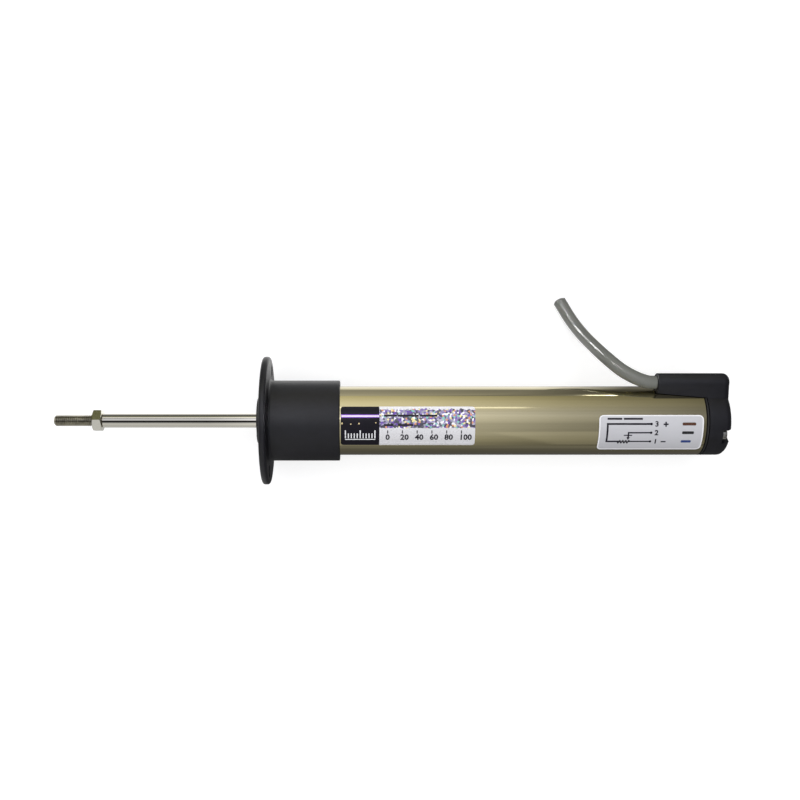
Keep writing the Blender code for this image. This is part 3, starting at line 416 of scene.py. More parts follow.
# %% Black cards
CARD_BASE = (0.01, 0.01, 0.01)
BLACK_CARD = (0.0, 0.0, 0.0)
OLIVE_CARD = (0.13, 0.13, 0.045)
CARDS = (
    ("card_overhead", (-0.30, -0.240, 0.39), (-0.036, -0.002, 0.39), BLACK_CARD),
    ("card_line", (-0.30, 0.270, 0.39), (-0.036, 0.345, 0.39), BLACK_CARD),
    ("card_behind", (-0.32, 0.40, -0.02), (-0.030, 0.40, 0.115), BLACK_CARD),
    ("card_olive", (-0.32, 0.40, 0.115), (-0.030, 0.40, 0.19), OLIVE_CARD),
)


def hang_card(name, low, high, glow):
    """A thin box between two corners, which glows with the tone that metal is to mirror."""
    bm = bmesh.new()
    size = Vector(high) - Vector(low)
    bmesh.ops.create_cube(bm, size=1.0)
    bmesh.ops.scale(bm, vec=[max(side, MM) for side in size], verts=bm.verts)
    bmesh.ops.translate(bm, vec=(Vector(high) + Vector(low)) / 2, verts=bm.verts)
    card = mesh_object(name, bm)
    made, _, shader, _ = new_material(name)
    shader.inputs["Base Color"].default_value = (*CARD_BASE, 1.0)
    shader.inputs["Emission Color"].default_value = (*glow, 1.0)
    shader.inputs["Emission Strength"].default_value = 1.0
    card.data.materials.append(made)
    card.visible_camera = False
    card.visible_diffuse = False
    card.visible_shadow = False


for card_row in CARDS:
    hang_card(*card_row)
print("cards", [row[0] for row in CARDS])

# %% [markdown]
# ## Cable
# A grey round cable leaves the block towards the front, bends aside and sinks to the sheet,
# where it ends cut off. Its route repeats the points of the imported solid.

# %% Cable route
HOUSING_TURN = Matrix.Rotation(math.radians(-62.0), 4, "X")
BLOCK_HEIGHT = 15.0 * MM
BLOCK_MOUTH_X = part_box("rear_cap")[0][0]
CABLE_INSIDE = 15.0 * MM
CABLE_D = 4.6 * MM
CABLE_ROUTE_MM = (
    (131.9, 13.55, 7.1),
    (127.85, 15.1, 6.6),
    (123.8, 17.7, 5.1),
    (120.2, 21.4, 1.7),
    (117.1, 26.0, -5.2),
    (114.3, 31.1, -13.0),
    (111.3, 36.8, -18.4),
    (107.4, 43.7, -19.9),
)


def smooth_curve(route, step):
    """Points about a step apart on a Catmull-Rom curve through the route."""
    route = [Vector(point) for point in route]
    ends = [2 * route[0] - route[1], *route, 2 * route[-1] - route[-2]]
    found = [route[0]]
    for before, start, end, after in zip(ends, ends[1:], ends[2:], ends[3:]):
        count = max(1, round((end - start).length / step))
        for i in range(1, count + 1):
            t = i / count
            found.append(
                (
                    2 * start
                    + (end - before) * t
                    + (2 * before - 5 * start + 4 * end - after) * t**2
                    + (3 * start - before - 3 * end + after) * t**3
                )
                / 2
            )
    return found


def path_length(points):
    """The length of a line through the points."""
    return sum((b - a).length for a, b in zip(points, points[1:]))


block_mouth = HOUSING_TURN @ Vector((BLOCK_MOUTH_X, 0.0, BLOCK_HEIGHT))
cable_start = HOUSING_TURN @ Vector((BLOCK_MOUTH_X + CABLE_INSIDE, 0.0, BLOCK_HEIGHT))
cable_path = smooth_curve(
    [cable_start, block_mouth, *(Vector(p) * MM for p in CABLE_ROUTE_MM)], CABLE_D / 4
)
print("cable", round(path_length(cable_path) / MM, 1), "mm")

# %% [markdown]
# ## Making solids
# Most pieces are turned about the rod's axis or are simple bars and boxes joined and cut. These
# helpers make each as a bmesh in the housing's own frame, where the cable block is straight up.
# A turned solid needs only its outline. The cap isn't round, so it is lofted from its section.

# %% Helpers for solids
# Facets round the tube, a moulding, the rod, a bar, a screw or hole, a bore and a port
FINE_STEPS = 192
ROUND_STEPS = 160
LONG_STEPS = 96
BAR_STEPS = 64
HOLE_STEPS = 48
BORE_STEPS = 32
PORT_STEPS = 24
# Facets across a rounded end edge
EDGE_STEPS = 8
# Points closer than this are one point
SAME_POINT = 1e-7


def spun(points, steps=ROUND_STEPS):
    """A solid turned about X from (x, radius) points; a closed outline repeats its first point."""
    bm = bmesh.new()
    closed = points[0] == points[-1]
    verts = [bm.verts.new((x, 0.0, r)) for x, r in (points[:-1] if closed else points)]
    pairs = list(zip(verts, verts[1:])) + ([(verts[-1], verts[0])] if closed else [])
    edges = [bm.edges.new(pair) for pair in pairs]
    bmesh.ops.spin(
        bm, geom=[*verts, *edges], axis=(1, 0, 0), cent=(0, 0, 0), angle=2 * math.pi,
        steps=steps, use_merge=True,
    )
    bmesh.ops.remove_doubles(bm, verts=bm.verts, dist=SAME_POINT)
    bmesh.ops.recalc_face_normals(bm, faces=bm.faces)
    return bm


def fillet(x, radius, size, start, end, count=6):
    """(x, radius) points of a rounded edge, from one angle to another in degrees."""
    angles = [math.radians(start + (end - start) * i / count) for i in range(count + 1)]
    return [(x + size * math.cos(a), radius + size * math.sin(a)) for a in angles]


def bar(x0, x1, radius, place=(0.0, 0.0), steps=BAR_STEPS):
    """A cylinder along X at (y, z)."""
    bm = bmesh.new()
    bmesh.ops.create_cone(
        bm, cap_ends=True, segments=steps, radius1=radius, radius2=radius, depth=x1 - x0,
        matrix=Matrix.Translation(((x0 + x1) / 2, *place)) @ Matrix.Rotation(math.pi / 2, 4, "Y"),
    )
    return bm


def brick(low, high):
    """A box between two corners."""
    bm = bmesh.new()
    size = Vector(high) - Vector(low)
    place = Matrix.Translation((Vector(high) + Vector(low)) / 2) @ Matrix.Diagonal((*size, 1.0))
    bmesh.ops.create_cube(bm, size=1.0, matrix=place)
    return bm


def lofted(sections, rear_edge=0.0, front_edge=0.0):
    """A solid along X through sections (x, outline of (y, z) points), with rounded end edges."""
    bm = bmesh.new()
    rings = []
    for x, outline in sections:
        verts = [bm.verts.new((x, y, z)) for y, z in outline]
        rings.append([bm.edges.new(pair) for pair in zip(verts, [*verts[1:], verts[0]])])
    for near, far in zip(rings, rings[1:]):
        bmesh.ops.bridge_loops(bm, edges=[*near, *far])
    for ring in (rings[0], rings[-1]):
        bmesh.ops.edgeloop_fill(bm, edges=ring)
    bmesh.ops.recalc_face_normals(bm, faces=bm.faces)
    for end, size in ((sections[-1][0], rear_edge), (sections[0][0], front_edge)):
        if size:
            rim = [e for e in bm.edges if all(abs(v.co.x - end) < SAME_POINT for v in e.verts)]
            bmesh.ops.bevel(
                bm, geom=rim, offset=size, segments=EDGE_STEPS, profile=0.5, affect="EDGES",
                material=-1,
            )
    return bm


# %% [markdown]
# ## Joining and cutting
# Holes and recesses are easiest to see as what they are, a tool taken out of a solid. Blender's
# Boolean modifier does that between two objects, so a bmesh becomes an object for a moment. The
# exact solver also copes with faces that lie on each other.

# %% Helpers to join and cut


def combined(bm, *steps):
    """The bmesh after a list of (operation, tool) Booleans, one after the other."""
    target = mesh_object("scratch", bm)
    tools = []
    for operation, tool in steps:
        tools.append(mesh_object("scratch", tool))
        change = target.modifiers.new("change", "BOOLEAN")
        change.operation = operation
        change.object = tools[-1]
        change.solver = "EXACT"
    graph = bpy.context.evaluated_depsgraph_get()
    result = bmesh.new()
    result.from_mesh(target.evaluated_get(graph).to_mesh())
    for obj in (target, *tools):
        bpy.data.objects.remove(obj, do_unlink=True)
    return result


def cut(bm, *tools):
    """The bmesh less each of the tools."""
    return combined(bm, *(("DIFFERENCE", tool) for tool in tools))


def join(bm, *tools):
    """The bmesh and the tools as one solid."""
    return combined(bm, *(("UNION", tool) for tool in tools))


def merged(pieces):
    """One bmesh from several."""
    whole = bmesh.new()
    for piece in pieces:
        mesh = bpy.data.meshes.new("scratch")
        piece.to_mesh(mesh)
        piece.free()
        whole.from_mesh(mesh)
        bpy.data.meshes.remove(mesh)
    return whole


def around(radius, angle):
    """(y, z) at an angle in degrees from the block's side, turning towards +Y."""
    turn = math.radians(angle)
    return radius * math.sin(turn), radius * math.cos(turn)


# %% [markdown]
# ## A finished piece
# The housing is turned about its axis against the frame, so the last helper turns each piece
# into place in its mesh. It shades the piece smooth except at its sharp edges, gives it its
# finishes, hangs it on the body that it rides on, and hides the imported solid it stands for.

# %% Helper for a finished piece


def finished(name, bm, finish, body, stands_for=None, turn=HOUSING_TURN, sharp=32.0):
    """The piece in its place: turned, shaded smooth between sharp edges, and riding on its body."""
    if turn is not None:
        bmesh.ops.transform(bm, matrix=turn, verts=bm.verts)
    obj = mesh_object(name, bm)
    mesh = obj.data
    mesh.shade_smooth()
    mesh.set_sharp_from_angle(angle=math.radians(sharp))
    for material in finish if isinstance(finish, tuple) else (finish,):
        mesh.materials.append(material)
    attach(obj, body)
    if stands_for:
        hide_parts(stands_for)
    print(name, len(mesh.polygons), "faces")
    return obj


# %% [markdown]
# ## The cable's skin
# The sheath is a ring of points carried along the path. Each ring is turned by the smallest
# angle that follows the path, so that the tube doesn't twist. The end was cut off almost square,
# so the tube runs on a little, a plane cuts it, and the rim of the cut is well rounded.

# %% Cable mesh
CABLE_SIDES = 28
CABLE_END_REACH = 0.62 * MM
CABLE_END_FACE = Vector((-0.44, 0.88, -0.18)).normalized()
CABLE_END_ROUND = 1.4 * MM
CABLE_END_STEPS = 6
SHEATH = grained(
    "grey_sheath", (0.170, 0.174, 0.157), 0.26, grain=0.12 * MM, vary=0.05, bump=0.002 * MM,
    specular=0.3,
)


def tube_along(points, radius, sides):
    """A closed tube around a path, as rings bridged with quads and a flat face on each end."""
    bm = bmesh.new()
    rings = []
    across = None
    for i, point in enumerate(points):
        ahead = (points[min(i + 1, len(points) - 1)] - points[max(i - 1, 0)]).normalized()
        if across is None:
            across = ahead.orthogonal().normalized()
        across = (across - ahead * across.dot(ahead)).normalized()
        up = ahead.cross(across)
        place = Matrix((across, up, ahead)).transposed().to_4x4()
        place.translation = point
        ring = bmesh.ops.create_circle(
            bm, cap_ends=False, segments=sides, radius=radius, matrix=place
        )
        rings.append(ring["verts"])
    for pair in zip(rings, rings[1:]):
        edges = {e for ring in pair for v in ring for e in v.link_edges}
        edges = {e for e in edges if len(e.link_faces) < 2}
        loops = [e for e in edges if any(set(e.verts) <= set(ring) for ring in pair)]
        bmesh.ops.bridge_loops(bm, edges=loops)
    for ring in (rings[0], rings[-1]):
        bm.faces.new(ring)
    bmesh.ops.recalc_face_normals(bm, faces=bm.faces)
    return bm


def make_cable():
    tip = cable_path[-1]
    ahead = (tip - cable_path[-2]).normalized()
    bm = tube_along([*cable_path, tip + ahead * CABLE_D], CABLE_D / 2, CABLE_SIDES)
    reach = tip + ahead * CABLE_END_REACH
    bmesh.ops.bisect_plane(
        bm, geom=[*bm.verts, *bm.edges, *bm.faces], plane_co=reach, plane_no=CABLE_END_FACE,
        clear_outer=True,
    )
    rim = [e for e in bm.edges if len(e.link_faces) == 1]
    bmesh.ops.edgeloop_fill(bm, edges=rim)
    bmesh.ops.bevel(
        bm, geom=rim, offset=CABLE_END_ROUND, segments=CABLE_END_STEPS, profile=0.5,
        affect="EDGES", material=-1,
    )
    bmesh.ops.recalc_face_normals(bm, faces=bm.faces)
    cable = finished(
        "cable_sheath", bm, SHEATH, "housing", "cable", turn=None, sharp=50.0
    )
    return cable


make_cable()

# %% [markdown]
# ## Sizes of the housing
# These repeat the model's own sizes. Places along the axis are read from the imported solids.

# %% Housing sizes
SEAT_GAP = 0.3 * MM
TUBE_RADIUS = 12.0 * MM
TUBE_BORE = 10.6 * MM
PORT_RADIUS = 9.3 * MM
SCREW_BORE = 1.55 * MM
PORT_WALL = 0.65 * MM
PORT_ANGLES = (90.0, 180.0, 270.0)
STRIP_EDGE = 6.3 * MM
STRIP_LOW = 6.6 * MM
STRIP_HIGH = 8.1 * MM
LEDGE_REACH = 1.1 * MM
LEDGE_THICK = 1.2 * MM
TUBE_EDGE = 0.15 * MM
SCALLOP_RADIUS = 2.55 * MM
CAP_THICK = 7.8 * MM

tube_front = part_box("tube_housing")[0][0]
tube_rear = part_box("tube_housing")[1][0]
cap_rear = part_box("rear_cap")[1][0]
cap_seat = cap_rear - CAP_THICK
print("tube from", tube_front, "to", tube_rear, "cap to", cap_rear)

# %% [markdown]
# ## Tube
# The tube is one aluminium extrusion with screw ports and ledges inside, anodised a pale gold.
# Its die leaves faint lines along it, and the anodised skin is smooth enough to show a streak
# of the lamp. The solid is a fine cylinder less its inner void.

# %% Tube


def gold_finish():
    """Anodised metal: long faint lines, clouds of tone and a thin clear coat."""
    made, tree, shader, coords = new_material("gold_anodised")
    lines = noise_on(tree, coords, 0.55 * MM, (400.0, 1.0, 1.0), 3.0)
    cloud = noise_on(tree, coords, 9.0 * MM, (3.0, 1.0, 1.0), 2.0)
    base = mix_colors(tree, cloud, (0.455, 0.405, 0.245), (0.51, 0.455, 0.28))
    drawn = map_range(tree, lines, 0.35, 0.65, 0.0, 0.25)
    color = mix_colors(tree, drawn, base, (0.38, 0.335, 0.20))
    tree.links.new(color, shader.inputs["Base Color"])
    tree.links.new(map_range(tree, lines, *NOISE_SPAN, 0.07, 0.11), shader.inputs["Roughness"])
    shader.inputs["Metallic"].default_value = 1.0
    shader.inputs["Coat Weight"].default_value = 0.25
    shader.inputs["Coat Roughness"].default_value = 0.06
    add_bump(tree, shader, lines, 0.002 * MM)
    return made


GOLD = gold_finish()


def make_tube():
    x0, x1 = tube_front, tube_rear
    near, far = x0 - MM, x1 + MM
    edge = TUBE_RADIUS - TUBE_EDGE
    solid = spun([
        (x0, 0.0), (x0, edge), (x0 + TUBE_EDGE, TUBE_RADIUS),
        (x1 - TUBE_EDGE, TUBE_RADIUS), (x1, edge), (x1, 0.0),
    ], FINE_STEPS)
    keep = []
    for angle in PORT_ANGLES:
        place = around(PORT_RADIUS, angle)
        keep.append(bar(near - MM, far + MM, SCREW_BORE + PORT_WALL, place))
    for side in (-1, 1):
        y0, y1 = sorted((side * (STRIP_EDGE - LEDGE_REACH), side * TUBE_RADIUS))
        for low in (STRIP_LOW - SEAT_GAP - LEDGE_THICK, STRIP_HIGH + SEAT_GAP):
            keep.append(brick((near - MM, y0, low), (far + MM, y1, low + LEDGE_THICK)))
    void = cut(bar(near, far, TUBE_BORE, steps=LONG_STEPS), *keep)
    ports = [
        bar(near, far, SCREW_BORE, around(PORT_RADIUS, angle), PORT_STEPS) for angle in PORT_ANGLES
    ]
    finished("tube", cut(solid, void, *ports), GOLD, "housing", "tube_housing")


make_tube()

# %% [markdown]
# ## Black plastic
# Flange and cap are moulded in the same black plastic. It has the satin of a moulded part: very
# dark, with a fine grain that breaks up the shine.

# %% Black plastic
BLACK_PLASTIC = grained(
    "black_moulding", (0.0050, 0.0050, 0.0080), 0.42, grain=0.22 * MM, vary=0.45, bump=0.014 * MM,
    rough_vary=0.22,
)
print("finish", BLACK_PLASTIC.name)

# %% [markdown]
# ## Flange
# The front flange is one moulding: a round plate with a domed boss in front, and a neck that
# takes the tube. Round edges are arcs in the turned outline, so they catch the light the way
# moulded edges do. The holes are bars cut out of the turned solid.

# %% Flange
FLANGE_RADIUS = 22.3 * MM
FLANGE_THICK = 2.5 * MM
FLANGE_EDGE = 0.9 * MM
NECK_RADIUS = 14.0 * MM
NECK_FILLET = 1.0 * MM
NECK_EDGE = 0.4 * MM
BOSS_RADIUS = 8.0 * MM
BOSS_RIM = 1.9 * MM
BOSS_DOME = 0.1 * MM
BOSS_EDGE = 0.3 * MM
BOSS_FOOT = 0.2 * MM
DOME_STEPS = 8
FRONT_WALL = 8.0 * MM
SEAL_POCKET = 4.8 * MM
SEAL_DEPTH = 4.0 * MM
BUSH_POCKET = 4.3 * MM
BUSH_FLOOR = 3.0 * MM
NOSE_RADIUS = 6.3 * MM
NOSE_END = 14.0 * MM
ROD_BORE = 2.8 * MM
HOLE_RADIUS = 2.25 * MM
HOLE_CIRCLE = 18.25 * MM
HOLE_ANGLES = (45.0, 135.0, 225.0, 315.0)
SPOT_FACE = 0.7 * MM
SPOT_REACH = 5.0 * MM
neck_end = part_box("front_flange")[1][0]


def dome_at(radius):
    """Where the boss's shallow dome is at a radius."""
    return -BOSS_RIM - BOSS_DOME * (1 - (radius / BOSS_RADIUS) ** 2)


def flange_outline():
    """(x, radius) points of the flange's section: its front, neck, inside and bore."""
    rim = FLANGE_RADIUS - FLANGE_EDGE
    top = BOSS_RADIUS - BOSS_EDGE
    radii = [SEAL_POCKET + (top - SEAL_POCKET) * i / DOME_STEPS for i in range(DOME_STEPS + 1)]
    dome = [(dome_at(radius), radius) for radius in radii]
    seal_floor = dome_at(SEAL_POCKET) + SEAL_DEPTH
    return [
        *dome,
        *fillet(BOSS_EDGE - BOSS_RIM, top, BOSS_EDGE, 170, 90, 4),
        (-BOSS_FOOT, BOSS_RADIUS),
        *fillet(-BOSS_FOOT, BOSS_RADIUS + BOSS_FOOT, BOSS_FOOT, 300, 360, 3),
        *fillet(FLANGE_EDGE, rim, FLANGE_EDGE, 180, 90),
        *fillet(FLANGE_THICK - FLANGE_EDGE, rim, FLANGE_EDGE, 90, 0),
        *fillet(FLANGE_THICK + NECK_FILLET, NECK_RADIUS + NECK_FILLET, NECK_FILLET, 180, 270),
        *fillet(neck_end - NECK_EDGE, NECK_RADIUS - NECK_EDGE, NECK_EDGE, 90, 0, 4),
        (neck_end, TUBE_RADIUS + SEAT_GAP),
        (FRONT_WALL, TUBE_RADIUS + SEAT_GAP),
        (FRONT_WALL, NOSE_RADIUS),
        (NOSE_END, NOSE_RADIUS),
        (NOSE_END, BUSH_POCKET),
        (BUSH_FLOOR, BUSH_POCKET),
        (BUSH_FLOOR, ROD_BORE),
        (seal_floor, ROD_BORE),
        (seal_floor, SEAL_POCKET),
        dome[0],
    ]


def make_flange():
    cuts = []
    for angle in HOLE_ANGLES:
        place = around(HOLE_CIRCLE, angle)
        cuts.append(bar(-MM, FLANGE_THICK + MM, HOLE_RADIUS, place, HOLE_STEPS))
    for angle in PORT_ANGLES:
        place = around(PORT_RADIUS, angle)
        cuts.append(bar(-MM, FRONT_WALL + MM, SCREW_BORE, place, BORE_STEPS))
        cuts.append(bar(-SPOT_REACH, SPOT_FACE, SCALLOP_RADIUS, place, HOLE_STEPS))
    flange = cut(spun(flange_outline()), *cuts)
    finished("flange", flange, BLACK_PLASTIC, "housing", "front_flange")


make_flange()

# %% [markdown]
# ## Rear cap
# The cap is one moulding with the block that the cable comes out of. Seen from behind its
# outline is a circle with an upright arch on it. That outline is run along the axis and its rear
# edge is rounded in one go, so that the rounding follows the arch as it does on the real cap.
# Towards the cable's mouth the arch grows slimmer at its foot.
# The three screws sit in recesses that open at the side.

# %% Rear cap
CAP_EDGE = 2.2 * MM
SCALLOP_DEPTH = 3.1 * MM
BLOCK_RADIUS = 3.15 * MM
BLOCK_TUCK = 1.0 * MM
BLOCK_FOOT = 4.45 * MM
BLOCK_LOW = math.sqrt(TUBE_RADIUS**2 - BLOCK_FOOT**2)
SADDLE = 12.2 * MM
CABLE_BORE = 2.5 * MM
CAP_NOSE_RADIUS = 6.0 * MM
CAP_NOSE_LENGTH = 16.9 * MM
CAP_NOSE_TOP = 4.4 * MM
POCKET_HALF = 2.5 * MM
POCKET_LOW = 6.8 * MM
POCKET_TOP = 11.7 * MM
POCKET_DEPTH = 4.2 * MM
ARM_EDGE = 0.5 * MM
ARCH_STEPS = 24
BODY_STEPS = 110


def arch(foot):
    """(y, z) points of the block's section: a half-round top and sides down to a foot."""
    turns = [math.pi * i / ARCH_STEPS for i in range(ARCH_STEPS + 1)]
    top = [(BLOCK_RADIUS * math.cos(a), BLOCK_HEIGHT + BLOCK_RADIUS * math.sin(a)) for a in turns]
    return [(foot, BLOCK_LOW), *top, (-foot, BLOCK_LOW)]


def cap_outline():
    """(y, z) points of the cap seen from behind: the circle of its body, and the arch."""
    meet = math.asin(BLOCK_FOOT / TUBE_RADIUS)
    turns = [meet + (2 * math.pi - 2 * meet) * i / BODY_STEPS for i in range(BODY_STEPS + 1)]
    body = [(TUBE_RADIUS * math.sin(a), TUBE_RADIUS * math.cos(a)) for a in turns]
    return [*body, *arch(BLOCK_FOOT)[-2:0:-1]]


def scallop(angle):
    """A screw's recess, a half-round slot that opens outwards."""
    wide = SCALLOP_RADIUS
    turns = [math.pi * i / ARCH_STEPS for i in range(ARCH_STEPS + 1)]
    outline = [(wide * math.cos(a), PORT_RADIUS - wide * math.sin(a)) for a in turns]
    outline += [(-wide, TUBE_RADIUS + MM), (wide, TUBE_RADIUS + MM)]
    bm = lofted([(x, outline) for x in (cap_rear - SCALLOP_DEPTH, cap_rear + MM)])
    bmesh.ops.transform(bm, matrix=Matrix.Rotation(math.radians(-angle), 4, "X"), verts=bm.verts)
    return bm


def make_cap():
    body = lofted([(x, cap_outline()) for x in (cap_seat, cap_rear)], CAP_EDGE)
    feet = (
        (BLOCK_MOUTH_X, BLOCK_RADIUS - BLOCK_TUCK),
        (cap_seat, BLOCK_FOOT),
        (cap_seat + MM, BLOCK_FOOT),
    )
    arm = lofted([(x, arch(foot)) for x, foot in feet], 0.0, ARM_EDGE)
    arm = cut(arm, bar(BLOCK_MOUTH_X - MM, cap_seat, SADDLE, steps=ROUND_STEPS))
    nose_x = cap_seat - CAP_NOSE_LENGTH
    nose = cut(
        bar(nose_x, cap_seat + MM, CAP_NOSE_RADIUS),
        brick((nose_x - MM, -TUBE_RADIUS, CAP_NOSE_TOP), (cap_seat, TUBE_RADIUS, TUBE_RADIUS)),
    )
    pocket_end = cap_seat + POCKET_DEPTH
    cuts = [
        bar(BLOCK_MOUTH_X - MM, pocket_end, CABLE_BORE, (0.0, BLOCK_HEIGHT), HOLE_STEPS),
    ]
    for front, top in ((cap_seat - MM, POCKET_TOP), (cap_seat + MM, BLOCK_HEIGHT)):
        cuts.append(brick((front, -POCKET_HALF, POCKET_LOW), (pocket_end, POCKET_HALF, top)))
    for angle in PORT_ANGLES:
        cuts.append(scallop(angle))
        place = around(PORT_RADIUS, angle)
        cuts.append(bar(cap_seat - MM, cap_rear, SCREW_BORE, place, BORE_STEPS))
    cap = cut(join(body, arm, nose), *cuts)
    finished("cap", cap, BLACK_PLASTIC, "housing", "rear_cap")


make_cap()

# %% [markdown]
# ## Screws
# Six pan-head screws hold the flange and the cap. The head is turned, with a rounded rim, and
# its cross recess is cut with two thin bricks. The cap's screws are nickel plated, a bright and
# slightly soft metal. Those in the flange are the same screws, painted near black: painted shade,
# as they lie dark in their recesses in the boss.

# %% Screws
SCREW_STEEL = grained(
    "plated_screw", (0.62, 0.61, 0.58), 0.24, 1.0, grain=0.15 * MM, vary=0.08, bump=0.003 * MM
)
# The flange's screws: the same screws, painted near black as painted shade in their recesses
SHADED_SCREW = grained(
    "painted_shade_screw", (0.020, 0.020, 0.021), 0.38, 0.4, grain=0.15 * MM, vary=0.1, bump=0.003 * MM
)
HEAD_RADIUS = 2.25 * MM
HEAD_HEIGHT = 1.6 * MM
HEAD_EDGE = 0.55 * MM
# How far the domed head has fallen halfway out and at its rounded rim
HEAD_FALL = (0.05 * MM, 0.12 * MM)
SHANK_RADIUS = 1.25 * MM
SCREW_LENGTH = 17.0 * MM
SCREW_POINT = 0.6 * MM
RECESS_WIDTH = 0.55 * MM
RECESS_LENGTH = 2.5 * MM
RECESS_DEPTH = 1.0 * MM
# How far the recesses of the three screws at an end are turned, in degrees
SCREW_SPINS = (20.0, 65.0, 40.0)


def screw_solid():
    """A screw along +X whose head seats at the origin."""
    top = -HEAD_HEIGHT
    halfway, rim = HEAD_FALL
    points = [
        (top, 0.0),
        (top + halfway, HEAD_RADIUS / 2),
        *fillet(top + HEAD_EDGE + rim, HEAD_RADIUS - HEAD_EDGE, HEAD_EDGE, 180, 90, 5),
        (0.0, HEAD_RADIUS),
        (0.0, SHANK_RADIUS),
        (SCREW_LENGTH - SCREW_POINT, SHANK_RADIUS),
        (SCREW_LENGTH, SHANK_RADIUS / 2),
        (SCREW_LENGTH, 0.0),
    ]
    wide, long = RECESS_WIDTH / 2, RECESS_LENGTH / 2
    deep = top + RECESS_DEPTH
    cross = [brick((top - MM, -y, -z), (deep, y, z)) for y, z in ((wide, long), (long, wide))]
    return cut(spun(points, HOLE_STEPS), *cross)


def place_screw(name, node, seat, direction, angle, spin, finish):
    """A screw in the port at an angle, pointing along +X or, where direction is negative, -X."""
    bm = screw_solid()
    bmesh.ops.transform(bm, matrix=Matrix.Rotation(math.radians(spin), 4, "X"), verts=bm.verts)
    if direction < 0:
        bmesh.ops.transform(bm, matrix=Matrix.Rotation(math.pi, 4, "Z"), verts=bm.verts)
    bmesh.ops.translate(bm, vec=(seat, *around(PORT_RADIUS, angle)), verts=bm.verts)
    finished(name, bm, finish, "housing", node)


for number, (angle, spin) in enumerate(zip(PORT_ANGLES, SCREW_SPINS), 1):
    place_screw(
        f"flange_screw_{number}", f"front_screw_{number}", SPOT_FACE - SEAT_GAP, 1, angle, spin,
        SHADED_SCREW,
    )
    place_screw(
        f"cap_screw_{number}", f"rear_screw_{number}", cap_rear - SCALLOP_DEPTH + SEAT_GAP, -1,
        angle, -spin, SCREW_STEEL,
    )

# %% [markdown]
# ## Thread
# The rod's front end carries an M4 thread. A thread is an edge outline spun about the axis while
# it moves on by one pitch a turn, so that each turn meets the next. Two planes cut its ends
# square. Its turns are real here, because a bump wouldn't show in the thread's outline.

# %% Thread
THREAD_RADIUS = 2.0 * MM
THREAD_ROOT = 1.70 * MM
THREAD_PITCH = 0.7 * MM
THREAD_FLANK = math.radians(30)
THREAD_STEPS = 36
# Points of the thread closer than this are one point
MERGE_THREAD = 1e-6


def threaded_bar(x0, x1, root, crest, pitch):
    """A threaded bar between two flat ends."""
    flank = (crest - root) * math.tan(THREAD_FLANK)
    crest_flat = pitch / 8
    root_flat = pitch - crest_flat - 2 * flank
    outline = (
        (0.0, root), (root_flat, root), (root_flat + flank, crest),
        (root_flat + flank + crest_flat, crest), (pitch, root),
    )
    turns = math.ceil((x1 - x0) / pitch) + 3
    bm = bmesh.new()
    verts = [bm.verts.new((x0 - 2 * pitch + x, 0.0, r)) for x, r in outline]
    edges = [bm.edges.new(pair) for pair in zip(verts, verts[1:])]
    bmesh.ops.spin(
        bm, geom=[*verts, *edges], axis=(1, 0, 0), cent=(0, 0, 0), angle=2 * math.pi * turns,
        dvec=(pitch / THREAD_STEPS, 0, 0), steps=THREAD_STEPS * turns, use_merge=False,
    )
    bmesh.ops.remove_doubles(bm, verts=bm.verts, dist=MERGE_THREAD)
    for x, side in ((x0, -1), (x1, 1)):
        everything = [*bm.verts, *bm.edges, *bm.faces]
        bmesh.ops.bisect_plane(
            bm, geom=everything, plane_co=(x, 0, 0), plane_no=(side, 0, 0), clear_outer=True
        )
        rim = [e for e in bm.edges if len(e.link_faces) == 1]
        rim = [e for e in rim if all(abs(v.co.x - x) < MERGE_THREAD for v in e.verts)]
        bmesh.ops.edgeloop_fill(bm, edges=rim)
    bmesh.ops.recalc_face_normals(bm, faces=bm.faces)
    return bm


# %% [markdown]
# ## Pull rod
# The rod is ground steel, almost a mirror, with fine lines along it from the grinding. The
# thread's turns get a darker and rougher steel. An intersection with a turned blank gives the
# thread its chamfer, and two grooves take the clips of the slider.

# %% Rod
ROD_RADIUS = 2.5 * MM
ROD_EDGE = 0.2 * MM
THREAD_CHAMFER = 0.7 * MM
THREAD_LENGTH = 16.9 * MM
# How far the thread runs into the rod
THREAD_OVERLAP = 0.4 * MM
# A blank stands this far outside what it is intersected with
BLANK_GAP = 0.02 * MM
CLIP_GROOVE = 2.0 * MM
CLIP_WIDTH = 1.2 * MM
rod_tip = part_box("pull_rod")[0][0]
rod_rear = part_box("pull_rod")[1][0]
shoulder = rod_tip + THREAD_LENGTH
slider_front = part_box("slider_block")[0][0]
slider_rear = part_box("slider_block")[1][0]


def steel_finish():
    """Ground metal: fine lines along the rod in its tone, its roughness and a slight bump."""
    made, tree, shader, coords = new_material("ground_steel")
    lines = noise_on(tree, coords, 0.25 * MM, (60.0, 1.0, 1.0), 2.0)
    base = mix_colors(tree, lines, (0.66, 0.635, 0.565), (0.76, 0.735, 0.66))
    tree.links.new(base, shader.inputs["Base Color"])
    tree.links.new(map_range(tree, lines, *NOISE_SPAN, 0.02, 0.035), shader.inputs["Roughness"])
    shader.inputs["Metallic"].default_value = 1.0
    add_bump(tree, shader, lines, 0.0008 * MM)
    return made


STEEL = steel_finish()
THREAD_STEEL = grained(
    "thread_steel", (0.34, 0.32, 0.25), 0.24, 1.0, grain=0.3 * MM, vary=0.75, bump=0.04 * MM,
    rough_vary=0.5,
)


